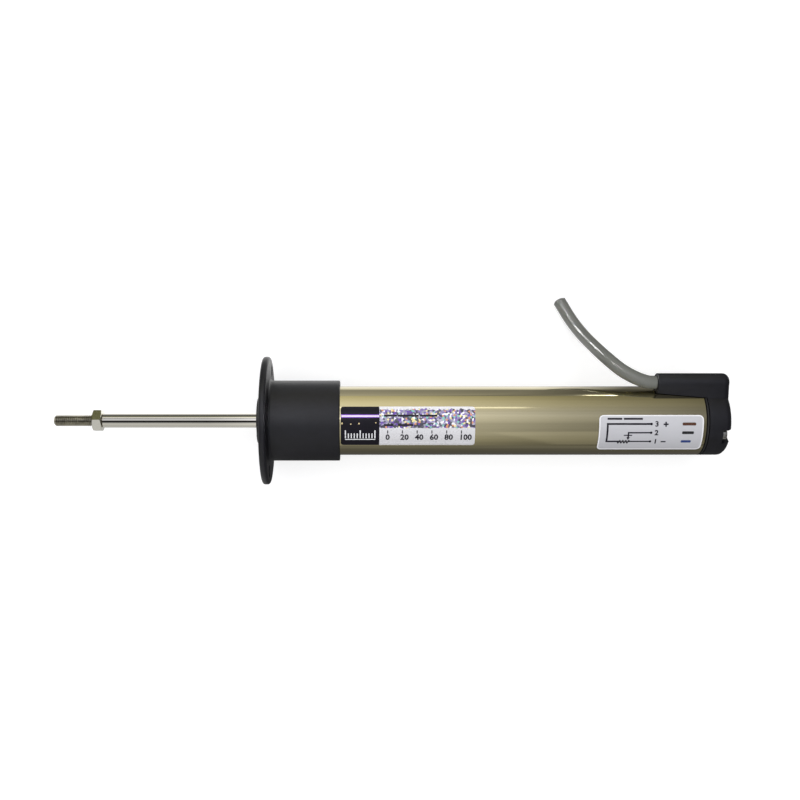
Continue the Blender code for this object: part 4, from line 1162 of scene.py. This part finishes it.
def make_rod():
    wide = THREAD_RADIUS + BLANK_GAP
    end = shoulder + THREAD_OVERLAP
    blank = spun([
        (rod_tip, 0.0), (rod_tip, THREAD_RADIUS - THREAD_CHAMFER), (rod_tip + THREAD_CHAMFER, wide),
        (end, wide), (end, 0.0),
    ], LONG_STEPS)
    thread = threaded_bar(
        rod_tip - MM, shoulder + MM, THREAD_ROOT, THREAD_RADIUS, THREAD_PITCH
    )
    thread = combined(thread, ("INTERSECT", blank))
    points = [
        (shoulder, 0.0), (shoulder, ROD_RADIUS - ROD_EDGE), (shoulder + ROD_EDGE, ROD_RADIUS),
    ]
    for x in (slider_front, slider_rear - CLIP_WIDTH):
        far = x + CLIP_WIDTH
        points += [(x, ROD_RADIUS), (x, CLIP_GROOVE), (far, CLIP_GROOVE), (far, ROD_RADIUS)]
    edge = 2 * ROD_EDGE
    points += [(rod_rear - edge, ROD_RADIUS), (rod_rear, ROD_RADIUS - edge), (rod_rear, 0.0)]
    shaft = spun(points, LONG_STEPS)
    for face in shaft.faces:
        face.material_index = 1
    finishes = (THREAD_STEEL, STEEL)
    finished("rod", merged([thread, shaft]), finishes, "rod", "pull_rod", sharp=25.0)


make_rod()

# %% [markdown]
# ## Lock nut
# A hex nut is a prism whose corners are turned down by a cone on both faces. Here the prism is
# intersected with a turned blank, and a bore with a countersunk mouth is cut through it. The
# rod's thread fills the bore. The faces are pressed smooth and plated.

# %% Nut
NUT_FLATS = 7.0 * MM
NUT_TURN = math.radians(25.0)
NUT_BORE = 2.1 * MM
# A face's edge lies this far inside the flats, and the cone runs back by this share of what the
# corners stand out
NUT_FACE = 0.1 * MM
NUT_CONE = 0.6
# The countersink's radius a millimetre before the face, and its end inside the nut
SINK_MOUTH = 3.3 * MM
SINK_END = (0.3 * MM, 2.0 * MM)
NUT_STEEL = grained(
    "plated_nut", (0.66, 0.645, 0.58), 0.15, 1.0, grain=0.5 * MM, vary=0.12, bump=0.004 * MM
)
nut_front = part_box("lock_nut")[0][0]
nut_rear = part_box("lock_nut")[1][0]


def make_nut():
    corner = NUT_FLATS / math.sqrt(3)
    flat = NUT_FLATS / 2
    drop = (corner - flat) * NUT_CONE
    x0, x1 = nut_front, nut_rear
    turn = Matrix.Rotation(NUT_TURN, 4, "X") @ Matrix.Rotation(math.pi / 2, 4, "Y")
    prism = bmesh.new()
    bmesh.ops.create_cone(
        prism, cap_ends=True, segments=6, radius1=corner, radius2=corner, depth=x1 - x0 + 2 * MM,
        matrix=Matrix.Translation(((x0 + x1) / 2, 0.0, 0.0)) @ turn,
    )
    blank = spun([
        (x0, 0.0), (x0, flat - NUT_FACE), (x0 + drop, corner + BLANK_GAP),
        (x1 - drop, corner + BLANK_GAP), (x1, flat - NUT_FACE), (x1, 0.0),
    ], FINE_STEPS)
    depth, narrow = SINK_END
    sink = spun([
        (x0 - MM, 0.0), (x0 - MM, SINK_MOUTH), (x0 + depth, narrow), (x0 + depth, 0.0),
    ], BAR_STEPS)
    bore = bar(x0 - MM, x1 + MM, NUT_BORE)
    nut = combined(blank, ("INTERSECT", prism), ("DIFFERENCE", bore), ("DIFFERENCE", sink))
    finished("nut", nut, NUT_STEEL, "rod", "lock_nut", turn=None, sharp=20.0)


make_nut()

# %% [markdown]
# ## Labels
# Two film labels are stuck round the tube. A label is a flat rounded rectangle that is cut into
# narrow strips, so that it can bend, and then wrapped on the tube. What is printed on it is made
# the same way, a hair's breadth higher. Print here is plain: bars, a scale and a wiring diagram.
# Its places are given in millimetres from the label's left end and below its upper edge.

# %% Helpers for flat shapes
LABEL_RADIUS = 12.1 * MM
LABEL_THICK = 0.2 * MM
PRINT_RISE = 0.012 * MM
PRINT_THICK = 0.010 * MM
# How wide the strips are, and how many are tried on each side of the label's upper edge
BEND_STEP = 0.4 * MM
BEND_REACH = 60


def wrap(bm, top, radius):
    """Bends a flat mesh round the tube: x stays, and y becomes the way down from the angle top."""
    for i in range(-BEND_REACH, BEND_REACH + 1):
        y = i * BEND_STEP
        heights = [v.co.y for v in bm.verts]
        if min(heights) < y < max(heights):
            bmesh.ops.bisect_plane(
                bm, geom=[*bm.verts, *bm.edges, *bm.faces], plane_co=(0, y, 0), plane_no=(0, 1, 0)
            )
    for vert in bm.verts:
        angle = top + vert.co.y / radius
        lift = radius + vert.co.z
        vert.co = (vert.co.x, lift * math.sin(angle), lift * math.cos(angle))


def flat_patch(x0, x1, y0, y1, corner=0.0, segments=6):
    """A flat rounded rectangle."""
    bm = bmesh.new()
    middle = Matrix.Translation(((x0 + x1) / 2, (y0 + y1) / 2, 0.0))
    place = middle @ Matrix.Diagonal((x1 - x0, y1 - y0, 1.0, 1.0))
    bmesh.ops.create_grid(bm, x_segments=1, y_segments=1, size=0.5, matrix=place)
    if corner:
        bmesh.ops.bevel(
            bm, geom=bm.verts, offset=corner, segments=segments, profile=0.5, affect="VERTICES",
            material=-1,
        )
    return bm


def thicken(bm, depth):
    """Gives a flat patch its thickness, upwards."""
    far = bmesh.ops.extrude_face_region(bm, geom=list(bm.faces))["geom"]
    moved = [v for v in far if isinstance(v, bmesh.types.BMVert)]
    bmesh.ops.translate(bm, vec=(0, 0, depth), verts=moved)
    bmesh.ops.recalc_face_normals(bm, faces=bm.faces)
    return bm


# %% [markdown]
# ## Print
# Print is made of the same flat shapes: bars between two points, and numbers from a text curve
# that is made a mesh. All the marks of one colour are merged, given a hair's thickness, lifted
# and wrapped as one piece. The film's own pattern also needs to know where on the label a point
# is, so one helper works that out from the point's coordinates.

# %% Helpers for print
LABEL_SHARP = 40.0
# A digit's height as a share of its text's size, and how far its outline is fattened
DIGIT_SHARE = 0.7
DIGIT_WEIGHT = 0.05


def stroke(start, end, width):
    """A flat bar between two points."""
    start, end = Vector(start), Vector(end)
    along = end - start
    bm = flat_patch(-width / 2, along.length + width / 2, -width / 2, width / 2)
    turn = Matrix.Rotation(math.atan2(along.y, along.x), 4, "Z")
    bmesh.ops.transform(bm, matrix=Matrix.Translation((*start, 0.0)) @ turn, verts=bm.verts)
    return bm


def on_label(left, x, y):
    """A place on a flat label, x mm from its left end and y mm below its upper edge."""
    return left + x * MM, -y * MM


def rule(left, start, end, width):
    """A printed line between two places on a label."""
    return stroke(on_label(left, *start), on_label(left, *end), width)


def numeral(text, place, height):
    """A plain number as flat faces, with its lower left corner at a place."""
    curve = bpy.data.curves.new("numeral", "FONT")
    curve.body = text
    curve.size = height / DIGIT_SHARE
    curve.offset = height * DIGIT_WEIGHT
    curve.resolution_u = 2
    obj = bpy.data.objects.new("numeral", curve)
    bpy.context.scene.collection.objects.link(obj)
    graph = bpy.context.evaluated_depsgraph_get()
    mesh = bpy.data.meshes.new_from_object(obj.evaluated_get(graph))
    bm = bmesh.new()
    bm.from_mesh(mesh)
    bmesh.ops.remove_doubles(bm, verts=bm.verts, dist=SAME_POINT)
    bmesh.ops.translate(bm, vec=(*place, 0.0), verts=bm.verts)
    bpy.data.objects.remove(obj, do_unlink=True)
    bpy.data.meshes.remove(mesh)
    bpy.data.curves.remove(curve)
    return bm


def print_on(name, pieces, top, finish, rise=PRINT_RISE):
    """A printed layer on a label: flat pieces given a little thickness, lifted and wrapped."""
    bm = merged([thicken(piece, PRINT_THICK) for piece in pieces])
    wrap(bm, top, LABEL_RADIUS + LABEL_THICK + rise)
    finished(name, bm, finish, "housing", turn=None, sharp=LABEL_SHARP)


def film(name, node, left, length, height, corner, top, finish):
    """The label itself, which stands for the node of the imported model."""
    bm = thicken(flat_patch(left, left + length, -height, 0.0, corner), LABEL_THICK)
    wrap(bm, top, LABEL_RADIUS)
    finished(name, bm, finish, "housing", node, turn=None, sharp=LABEL_SHARP)


def arc_coords(tree, coords, x_start, top):
    """Coordinates on the label: how far along, and how far down from its upper edge, in mm."""
    split = tree.nodes.new("ShaderNodeSeparateXYZ")
    tree.links.new(coords, split.inputs["Vector"])
    along = math_node(tree, "MULTIPLY_ADD", split.outputs["X"], 1 / MM, -x_start / MM)
    angle = math_node(tree, "ARCTAN2", split.outputs["Y"], split.outputs["Z"])
    radius = (LABEL_RADIUS + LABEL_THICK) / MM
    down = math_node(tree, "MULTIPLY_ADD", angle, -radius, top * radius)
    return along, down


# %% [markdown]
# ## Foil of the front label
# The front label has a black field and a silver field. The upper part of the silver field is a
# holographic foil: small flakes that each throw another colour. A Voronoi pattern makes the
# flakes, and a colour ramp over each flake's random value gives them their colours.

# %% Foil of the front label
FRONT_HEIGHT = 13.8 * MM
FRONT_TOP = math.radians(23.7)
FRONT_X = 27.15 * MM
FRONT_LENGTH = 45.55 * MM
FRONT_CORNER = 1.0 * MM
BLACK_FIELD = 13.1 * MM
# The flaked part's depth in mm, how ragged its lower edge is, and its pale upper margin
FOIL_DEPTH = 7.4
FOIL_RAGGED = 1.2
PALE_RAGGED = 2.4
PALE_START = -0.2
FLAKES_PER_MM = 1.6
FLAKE_COLORS = (
    (0.00, (0.26, 0.20, 0.46)), (0.17, (0.06, 0.055, 0.085)), (0.32, (0.36, 0.35, 0.44)),
    (0.42, (0.15, 0.06, 0.42)), (0.53, (0.96, 0.96, 0.99)), (0.65, (0.75, 0.32, 0.16)),
    (0.70, (0.11, 0.105, 0.14)), (0.82, (0.24, 0.62, 0.52)), (0.87, (0.90, 0.78, 0.34)),
    (0.92, (0.50, 0.48, 0.60)),
)


def foil_finish():
    """Silver film with flakes of foil above, a pale margin along its top and a dark field."""
    made, tree, shader, coords = new_material("silver_foil")
    along, down = arc_coords(tree, coords, FRONT_X, FRONT_TOP)
    join_xyz = tree.nodes.new("ShaderNodeCombineXYZ")
    tree.links.new(along, join_xyz.inputs["X"])
    tree.links.new(down, join_xyz.inputs["Y"])
    flakes = tree.nodes.new("ShaderNodeTexVoronoi")
    flakes.voronoi_dimensions = "2D"
    flakes.inputs["Scale"].default_value = FLAKES_PER_MM
    tree.links.new(join_xyz.outputs["Vector"], flakes.inputs["Vector"])
    pick = tree.nodes.new("ShaderNodeSeparateColor")
    tree.links.new(flakes.outputs["Color"], pick.inputs["Color"])
    flaked = ramp_of(tree, pick.outputs["Red"], FLAKE_COLORS, "CONSTANT")
    ragged = noise_on(tree, coords, 0.9 * MM)
    foil_end = math_node(tree, "MULTIPLY_ADD", ragged, FOIL_RAGGED, FOIL_DEPTH - FOIL_RAGGED / 2)
    pale_end = math_node(tree, "MULTIPLY_ADD", ragged, PALE_RAGGED, PALE_START)
    cloud = noise_on(tree, coords, 5 * MM)
    silver = mix_colors(tree, cloud, (0.70, 0.70, 0.73), (0.80, 0.79, 0.81))
    pale = math_node(tree, "LESS_THAN", down, pale_end)
    flaked = mix_colors(tree, pale, flaked, (0.85, 0.84, 0.87))
    bright = mix_colors(tree, math_node(tree, "GREATER_THAN", down, foil_end), flaked, silver)
    dark = math_node(tree, "LESS_THAN", along, BLACK_FIELD / MM)
    color = mix_colors(tree, dark, bright, (0.010, 0.010, 0.013))
    tree.links.new(color, shader.inputs["Base Color"])
    shader.inputs["Metallic"].default_value = 0.15
    rough = map_range(tree, pick.outputs["Green"], 0.0, 1.0, 0.22, 0.5)
    tree.links.new(rough, shader.inputs["Roughness"])
    shader.inputs["Coat Weight"].default_value = 0.3
    shader.inputs["Coat Roughness"].default_value = 0.08
    return made


FOIL = foil_finish()
print("flakes in", len(FLAKE_COLORS), "colours")

# %% [markdown]
# ## Inks
# An ink is a thin even layer, so its tone drifts only a little and it has no bump. The streak of
# light on the black field is a painted reflection of the lamps, in violet and pale bands, with a
# few painted amber glints.

# %% Inks


def print_finish(name, color, roughness, grain, vary, specular=0.5):
    """A finish for a printed layer, which has no bump of its own."""
    return grained(name, color, roughness, grain=grain * MM, vary=vary, bump=0.0, specular=specular)


BLACK_INK = print_finish("black_film", (0.008, 0.007, 0.012), 0.20, 0.4, 0.3, specular=0.12)
DARK_INK = print_finish("dark_ink", (0.018, 0.016, 0.024), 0.4, 0.2, 0.2, specular=0.2)
# White for the print, and for the painted highlight on the wiring label's edge
WHITE_PRINT_AND_EDGE_HIGHLIGHT = print_finish("white_print_and_edge_highlight", (0.90, 0.90, 0.92), 0.35, 0.3, 0.05)
# Painted reflection: the lamps' streak on the black field in violet and pale bands, and painted amber
# glints
PAINTED_VIOLET_STREAK = print_finish("painted_violet_streak", (0.22, 0.07, 0.55), 0.25, 0.5, 0.5)
PAINTED_PALE_STREAK = print_finish("painted_pale_streak", (0.93, 0.80, 0.98), 0.25, 0.6, 0.08)
PAINTED_AMBER_GLINTS = print_finish("painted_amber_glints", (0.85, 0.60, 0.30), 0.25, 0.5, 0.4)
print("inks", [ink.name for ink in (BLACK_INK, DARK_INK, WHITE_PRINT_AND_EDGE_HIGHLIGHT)])

# %% [markdown]
# ## Front label
# The film is one flat patch with round corners, and the black field is a patch of its own on
# it. The painted streak of light, a painted reflection, lies on that field in two layers, each a
# hair above the last, so that no two faces that show lie in the same place.

# %% Front label
FIELD_MARGIN = 0.02 * MM
FIELD_CORNER = 0.8 * MM
# Two bands of painted reflection on the black field: a name, half the width, the layer and the finish
STREAK_DOWN = 3.35 * MM
STREAK_START = 0.1 * MM
PAINTED_STREAK_BANDS = (("violet", 0.55 * MM, 1, PAINTED_VIOLET_STREAK), ("pale", 0.26 * MM, 2, PAINTED_PALE_STREAK))
# Painted glints of light: mm along the label, mm down it, and mm across
PAINTED_GLINTS = ((0.45, 5.85, 0.55), (3.4, 6.1, 0.42), (6.2, 5.9, 0.5), (11.9, 5.6, 0.4))
GLINT_CORNER = 0.12 * MM


def make_front_label():
    film(
        "front_label_film", "front_label", FRONT_X, FRONT_LENGTH, FRONT_HEIGHT, FRONT_CORNER,
        FRONT_TOP, FOIL,
    )
    field_end = FRONT_X + BLACK_FIELD
    field = flat_patch(
        FRONT_X + FIELD_MARGIN, field_end, FIELD_MARGIN - FRONT_HEIGHT, -FIELD_MARGIN, FIELD_CORNER
    )
    print_on("front_label_field", [field], FRONT_TOP, BLACK_INK, 0.0)
    # The painted streak of reflected light, in two layers
    for name, half, layer, finish in PAINTED_STREAK_BANDS:
        streak_layer = flat_patch(FRONT_X + STREAK_START, field_end, -STREAK_DOWN - half, -STREAK_DOWN + half)
        print_on(f"front_label_{name}_band", [streak_layer], FRONT_TOP, finish, layer * PRINT_RISE)
    # Painted amber glints on the black field
    glint_patches = []
    for along, down, size in PAINTED_GLINTS:
        x, y = on_label(FRONT_X, along, down)
        half = size / 2 * MM
        glint_patches.append(flat_patch(x - half, x + half, y - half, y + half, GLINT_CORNER, 2))
    print_on("front_label_painted_glints", glint_patches, FRONT_TOP, PAINTED_AMBER_GLINTS)


make_front_label()

# %% [markdown]
# ## Print on the front label
# The black field carries a tick scale in white. On the silver field, plain bars stand in place
# of words, above a scale with numbers from 0 to 100 for the stroke in millimetres.

# %% Print on the front label
# The tick scale: where it starts, how many ticks, its foot and base line, and two tick lengths
TICK_START = 1.6
TICK_COUNT = 11
TICK_FOOT = 11.0
TICK_BASE = 11.6
TICK_LONG = 2.6
TICK_SHORT = 1.5
TICK_LINE = 0.35 * MM
BASE_LINE = 0.3 * MM
# Bars in place of words: how far down, from and to
BARS = (
    (3.2, 15.0, 18.6), (3.2, 19.6, 26.0), (3.2, 27.2, 32.4), (6.4, 15.0, 17.4), (6.4, 19.8, 24.2),
)
BAR_LINE = 0.7 * MM
# The numbered scale: where it starts, its step and its foot
SCALE_NUMBERS = ("0", "20", "40", "60", "80", "100")
SCALE_START = 15.2
SCALE_STEP = 5.0
SCALE_FOOT = 11.7
SCALE_DIGIT = 2.0 * MM
# The tick over a number: how far right of the number's left edge, its foot and its head
SCALE_TICK = (0.7, 9.2, 8.4)


def make_front_print():
    """A tick scale on the black field, and bars and a numbered scale on the silver one."""
    ticks = []
    for i in range(TICK_COUNT):
        x = TICK_START + i
        tall = TICK_LONG if i % 5 == 0 else TICK_SHORT
        ticks.append(rule(FRONT_X, (x, TICK_FOOT), (x, TICK_FOOT - tall), TICK_LINE))
    ends = (TICK_START, TICK_BASE), (TICK_START + TICK_COUNT - 1, TICK_BASE)
    ticks.append(rule(FRONT_X, *ends, BASE_LINE))
    print_on("front_label_ticks", ticks, FRONT_TOP, WHITE_PRINT_AND_EDGE_HIGHLIGHT, 2 * PRINT_RISE)
    marks = [rule(FRONT_X, (x0, down), (x1, down), BAR_LINE) for down, x0, x1 in BARS]
    aside, foot, head = SCALE_TICK
    for i, text in enumerate(SCALE_NUMBERS):
        x = SCALE_START + SCALE_STEP * i
        marks.append(numeral(text, on_label(FRONT_X, x, SCALE_FOOT), SCALE_DIGIT))
        marks.append(rule(FRONT_X, (x + aside, foot), (x + aside, head), TICK_LINE))
    print_on("front_label_scale", marks, FRONT_TOP, DARK_INK)


make_front_print()

# %% [markdown]
# ## Wiring diagram
# The second label shows how the sensor is wired: the track as a zigzag resistor, the wiper as an
# arrow on it, and three leads with their numbers and signs. Most of it is lines, so a table of
# two ends and a width each describes it.

# %% Wiring diagram
WIRING_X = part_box("wiring_label")[0][0]
LINE = 0.64 * MM
THIN_LINE = 0.50 * MM
LEAD_ROWS = (3.05, 6.1, 9.45)
LEAD_END = 17.4
LEAD_RING = 0.45 * MM
RING_GAP = 0.3
LOOP_LEFT = 2.85
TRACK = (6.6, 10.7)
ZIGZAG_TURNS = 8
ZIGZAG_DOWN, ZIGZAG_UP = 0.6, -0.3
WIPER = 10.05
# The arrow on the track: how far its tip, its back and its stem's end are above the track, and
# half its width
ARROW_TIP, ARROW_BACK, ARROW_STEM, ARROW_HALF = 0.6, 1.7, 1.4, 0.6
# The bar under the wiper's lead: how far down, its two ends from the wiper, and its width
WIPER_BAR = (0.95, -1.35, 1.1)
WIPER_BAR_LINE = THIN_LINE * 0.8
PLUS, MINUS, SIGN_HALF, SIGN_DOWN = 22.6, 22.2, 0.6, 0.1
TITLE_DOWN = 1.3
TITLE_BARS = ((3.1, 7.4), (8.6, 14.4))
LEAD_NUMBERS = "321"
NUMBER_X = 18.9
NUMBER_DOWN = 0.85
NUMBER_SIZE = 1.8 * MM


def track_zigzag(row):
    """The zigzag of a resistor between its two ends."""
    x0, x1 = TRACK
    points = [(x0, row)]
    for i in range(ZIGZAG_TURNS):
        x = x0 + (x1 - x0) * (i + 0.5) / ZIGZAG_TURNS
        points.append((x, row + (ZIGZAG_UP if i % 2 else ZIGZAG_DOWN)))
    points.append((x1, row))
    return [rule(WIRING_X, a, b, THIN_LINE) for a, b in zip(points, points[1:])]


def diagram_lines():
    """The diagram's lines: two ends and a width each."""
    top, middle, low = LEAD_ROWS
    bar_down, bar_start, bar_end = WIPER_BAR
    bar_row = middle + bar_down
    plus_row, minus_row = top + SIGN_DOWN, low + SIGN_DOWN
    return (
        ((LOOP_LEFT, top), (LEAD_END, top), LINE),
        ((LOOP_LEFT, top), (LOOP_LEFT, low), LINE),
        ((LOOP_LEFT, low), (TRACK[0], low), LINE),
        ((TRACK[1], low), (LEAD_END, low), THIN_LINE),
        ((WIPER, middle), (LEAD_END, middle), THIN_LINE),
        ((WIPER, middle), (WIPER, low - ARROW_STEM), THIN_LINE),
        ((WIPER + bar_start, bar_row), (WIPER + bar_end, bar_row), WIPER_BAR_LINE),
        ((PLUS - SIGN_HALF, plus_row), (PLUS + SIGN_HALF, plus_row), THIN_LINE),
        ((PLUS, plus_row - SIGN_HALF), (PLUS, plus_row + SIGN_HALF), THIN_LINE),
        ((MINUS - SIGN_HALF, minus_row), (MINUS + SIGN_HALF, minus_row), THIN_LINE),
        *(((x0, TITLE_DOWN), (x1, TITLE_DOWN), LINE) for x0, x1 in TITLE_BARS),
    )


def diagram():
    """Flat strokes of the diagram, with its arrow, numbers and rings."""
    low = LEAD_ROWS[-1]
    lines = [rule(WIRING_X, start, end, width) for start, end, width in diagram_lines()]
    lines += track_zigzag(low)
    arrow = bmesh.new()
    back = low - ARROW_BACK
    corners = ((WIPER - ARROW_HALF, back), (WIPER + ARROW_HALF, back), (WIPER, low - ARROW_TIP))
    arrow.faces.new([arrow.verts.new((*on_label(WIRING_X, *corner), 0.0)) for corner in corners])
    lines.append(arrow)
    for text, row in zip(LEAD_NUMBERS, LEAD_ROWS):
        place = on_label(WIRING_X, NUMBER_X, row + NUMBER_DOWN)
        lines.append(numeral(text, place, NUMBER_SIZE))
        middle = on_label(WIRING_X, LEAD_END + RING_GAP, row)
        ring = bmesh.new()
        bmesh.ops.create_circle(
            ring, cap_ends=True, segments=16, radius=LEAD_RING,
            matrix=Matrix.Translation((*middle, 0.0)),
        )
        lines.append(ring)
    return lines


# %% [markdown]
# ## Wiring label
# The label itself is a pale silver film, with a painted highlight as a white rim along its edge.
# The rim is the label's outline inset, with its middle taken out. The colours of the leads are
# small patches in place of words.

# %% Wiring label
WIRING_TOP = math.radians(9.8)
WIRING_LENGTH = 35.4 * MM
WIRING_HEIGHT = 13.2 * MM
WIRING_CORNER = 1.5 * MM
EDGE_HIGHLIGHT_WIDTH = 0.4 * MM
PALE_FILM = grained(
    "pale_film", (0.60, 0.60, 0.63), 0.34, 0.1, grain=2.0 * MM, vary=0.05, bump=0.0, coat=0.2
)
# A patch of colour for each lead, from the top: its name, colour and length in mm
PATCHES = (
    ("brown", (0.085, 0.030, 0.014), 4.6),
    ("black", (0.012, 0.012, 0.014), 4.0),
    ("blue", (0.020, 0.045, 0.19), 3.4),
)
PATCH_X = 28.2
PATCH_HALF = 0.5 * MM
PATCH_CORNER = 0.3 * MM


def painted_edge_highlight(x0, x1, low, corner, width):
    """A flat frame that follows a label's outline: the painted highlight along its edge."""
    bm = flat_patch(x0, x1, low, 0.0, corner)
    middle = list(bm.faces)
    bmesh.ops.inset_region(bm, faces=middle, thickness=width, use_boundary=True)
    bmesh.ops.delete(bm, geom=middle, context="FACES")
    return bm


def make_wiring_label():
    film(
        "wiring_label_film", "wiring_label", WIRING_X, WIRING_LENGTH, WIRING_HEIGHT, WIRING_CORNER,
        WIRING_TOP, PALE_FILM,
    )
    # The white rim is a painted highlight on the label's edge
    rim = painted_edge_highlight(WIRING_X, WIRING_X + WIRING_LENGTH, -WIRING_HEIGHT, WIRING_CORNER, EDGE_HIGHLIGHT_WIDTH)
    print_on("wiring_label_painted_highlight", [rim], WIRING_TOP, WHITE_PRINT_AND_EDGE_HIGHLIGHT, 0.0)
    print_on("wiring_diagram", diagram(), WIRING_TOP, DARK_INK)
    for (name, color, length), row in zip(PATCHES, LEAD_ROWS):
        ink = print_finish(f"{name}_ink", color, 0.4, 0.2, 0.15)
        x, y = on_label(WIRING_X, PATCH_X, row)
        patch = flat_patch(x, x + length * MM, y - PATCH_HALF, y + PATCH_HALF, PATCH_CORNER, 3)
        print_on(f"wiring_patch_{name}", [patch], WIRING_TOP, ink)


make_wiring_label()

# %% [markdown]
# ## Pieces inside
# The seals, the bush, the slider and the electrical parts are hidden or barely seen, and their
# solids already have the right shape. They keep their meshes and get a finish of their own.

# %% Finishes for the other solids
INNER_FINISHES = {
    "rod_bush": grained("bronze", (0.42, 0.28, 0.13), 0.38, 1.0, grain=0.1 * MM, vary=0.2),
    "wiper_seal": grained("seal_rubber", (0.014, 0.014, 0.014), 0.6, grain=0.15 * MM, vary=0.2),
    "front_gasket": grained("gasket_rubber", (0.016, 0.016, 0.017), 0.7, grain=0.2 * MM, vary=0.2),
    "element_strip": grained("element_board", (0.10, 0.16, 0.08), 0.55, grain=0.3 * MM, vary=0.15),
    "resistive_track": grained("carbon_film", (0.02, 0.02, 0.022), 0.42, grain=0.1 * MM, vary=0.2),
    "collector_track": grained("silver_film", (0.55, 0.54, 0.50), 0.35, 0.9, grain=0.1 * MM, vary=0.1),
    "terminal_pin_1": grained("tinned_brass", (0.62, 0.54, 0.36), 0.3, 1.0, grain=0.1 * MM, vary=0.1),
    "slider_block": grained("white_slider", (0.70, 0.69, 0.65), 0.42, grain=0.4 * MM, vary=0.05),
    "wiper_contact": grained("contact_alloy", (0.78, 0.66, 0.40), 0.28, 1.0, grain=0.2 * MM, vary=0.1),
    "rod_clip_front": grained("spring_steel", (0.22, 0.22, 0.24), 0.35, 1.0, grain=0.2 * MM, vary=0.2),
    "brown_wire": grained("brown_sheath", (0.12, 0.045, 0.02), 0.45, grain=0.2 * MM, vary=0.1),
    "black_wire": grained("black_sheath", (0.015, 0.015, 0.016), 0.45, grain=0.2 * MM, vary=0.1),
    "blue_wire": grained("blue_sheath", (0.02, 0.08, 0.32), 0.45, grain=0.2 * MM, vary=0.1),
}
SAME_FINISH = {
    "front_gasket": ("rear_gasket", "front_buffer", "rear_buffer"),
    "terminal_pin_1": ("terminal_pin_2", "terminal_pin_3", "wiper_rivet_1", "wiper_rivet_2"),
    "rod_clip_front": ("rod_clip_rear",),
}


def dress_node(node, finish):
    """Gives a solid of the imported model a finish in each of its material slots."""
    for material_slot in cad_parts[node].material_slots:
        material_slot.material = finish


for node, finish in INNER_FINISHES.items():
    for name in (node, *SAME_FINISH.get(node, ())):
        dress_node(name, finish)
print("dressed", len(INNER_FINISHES), "kinds of inner piece")
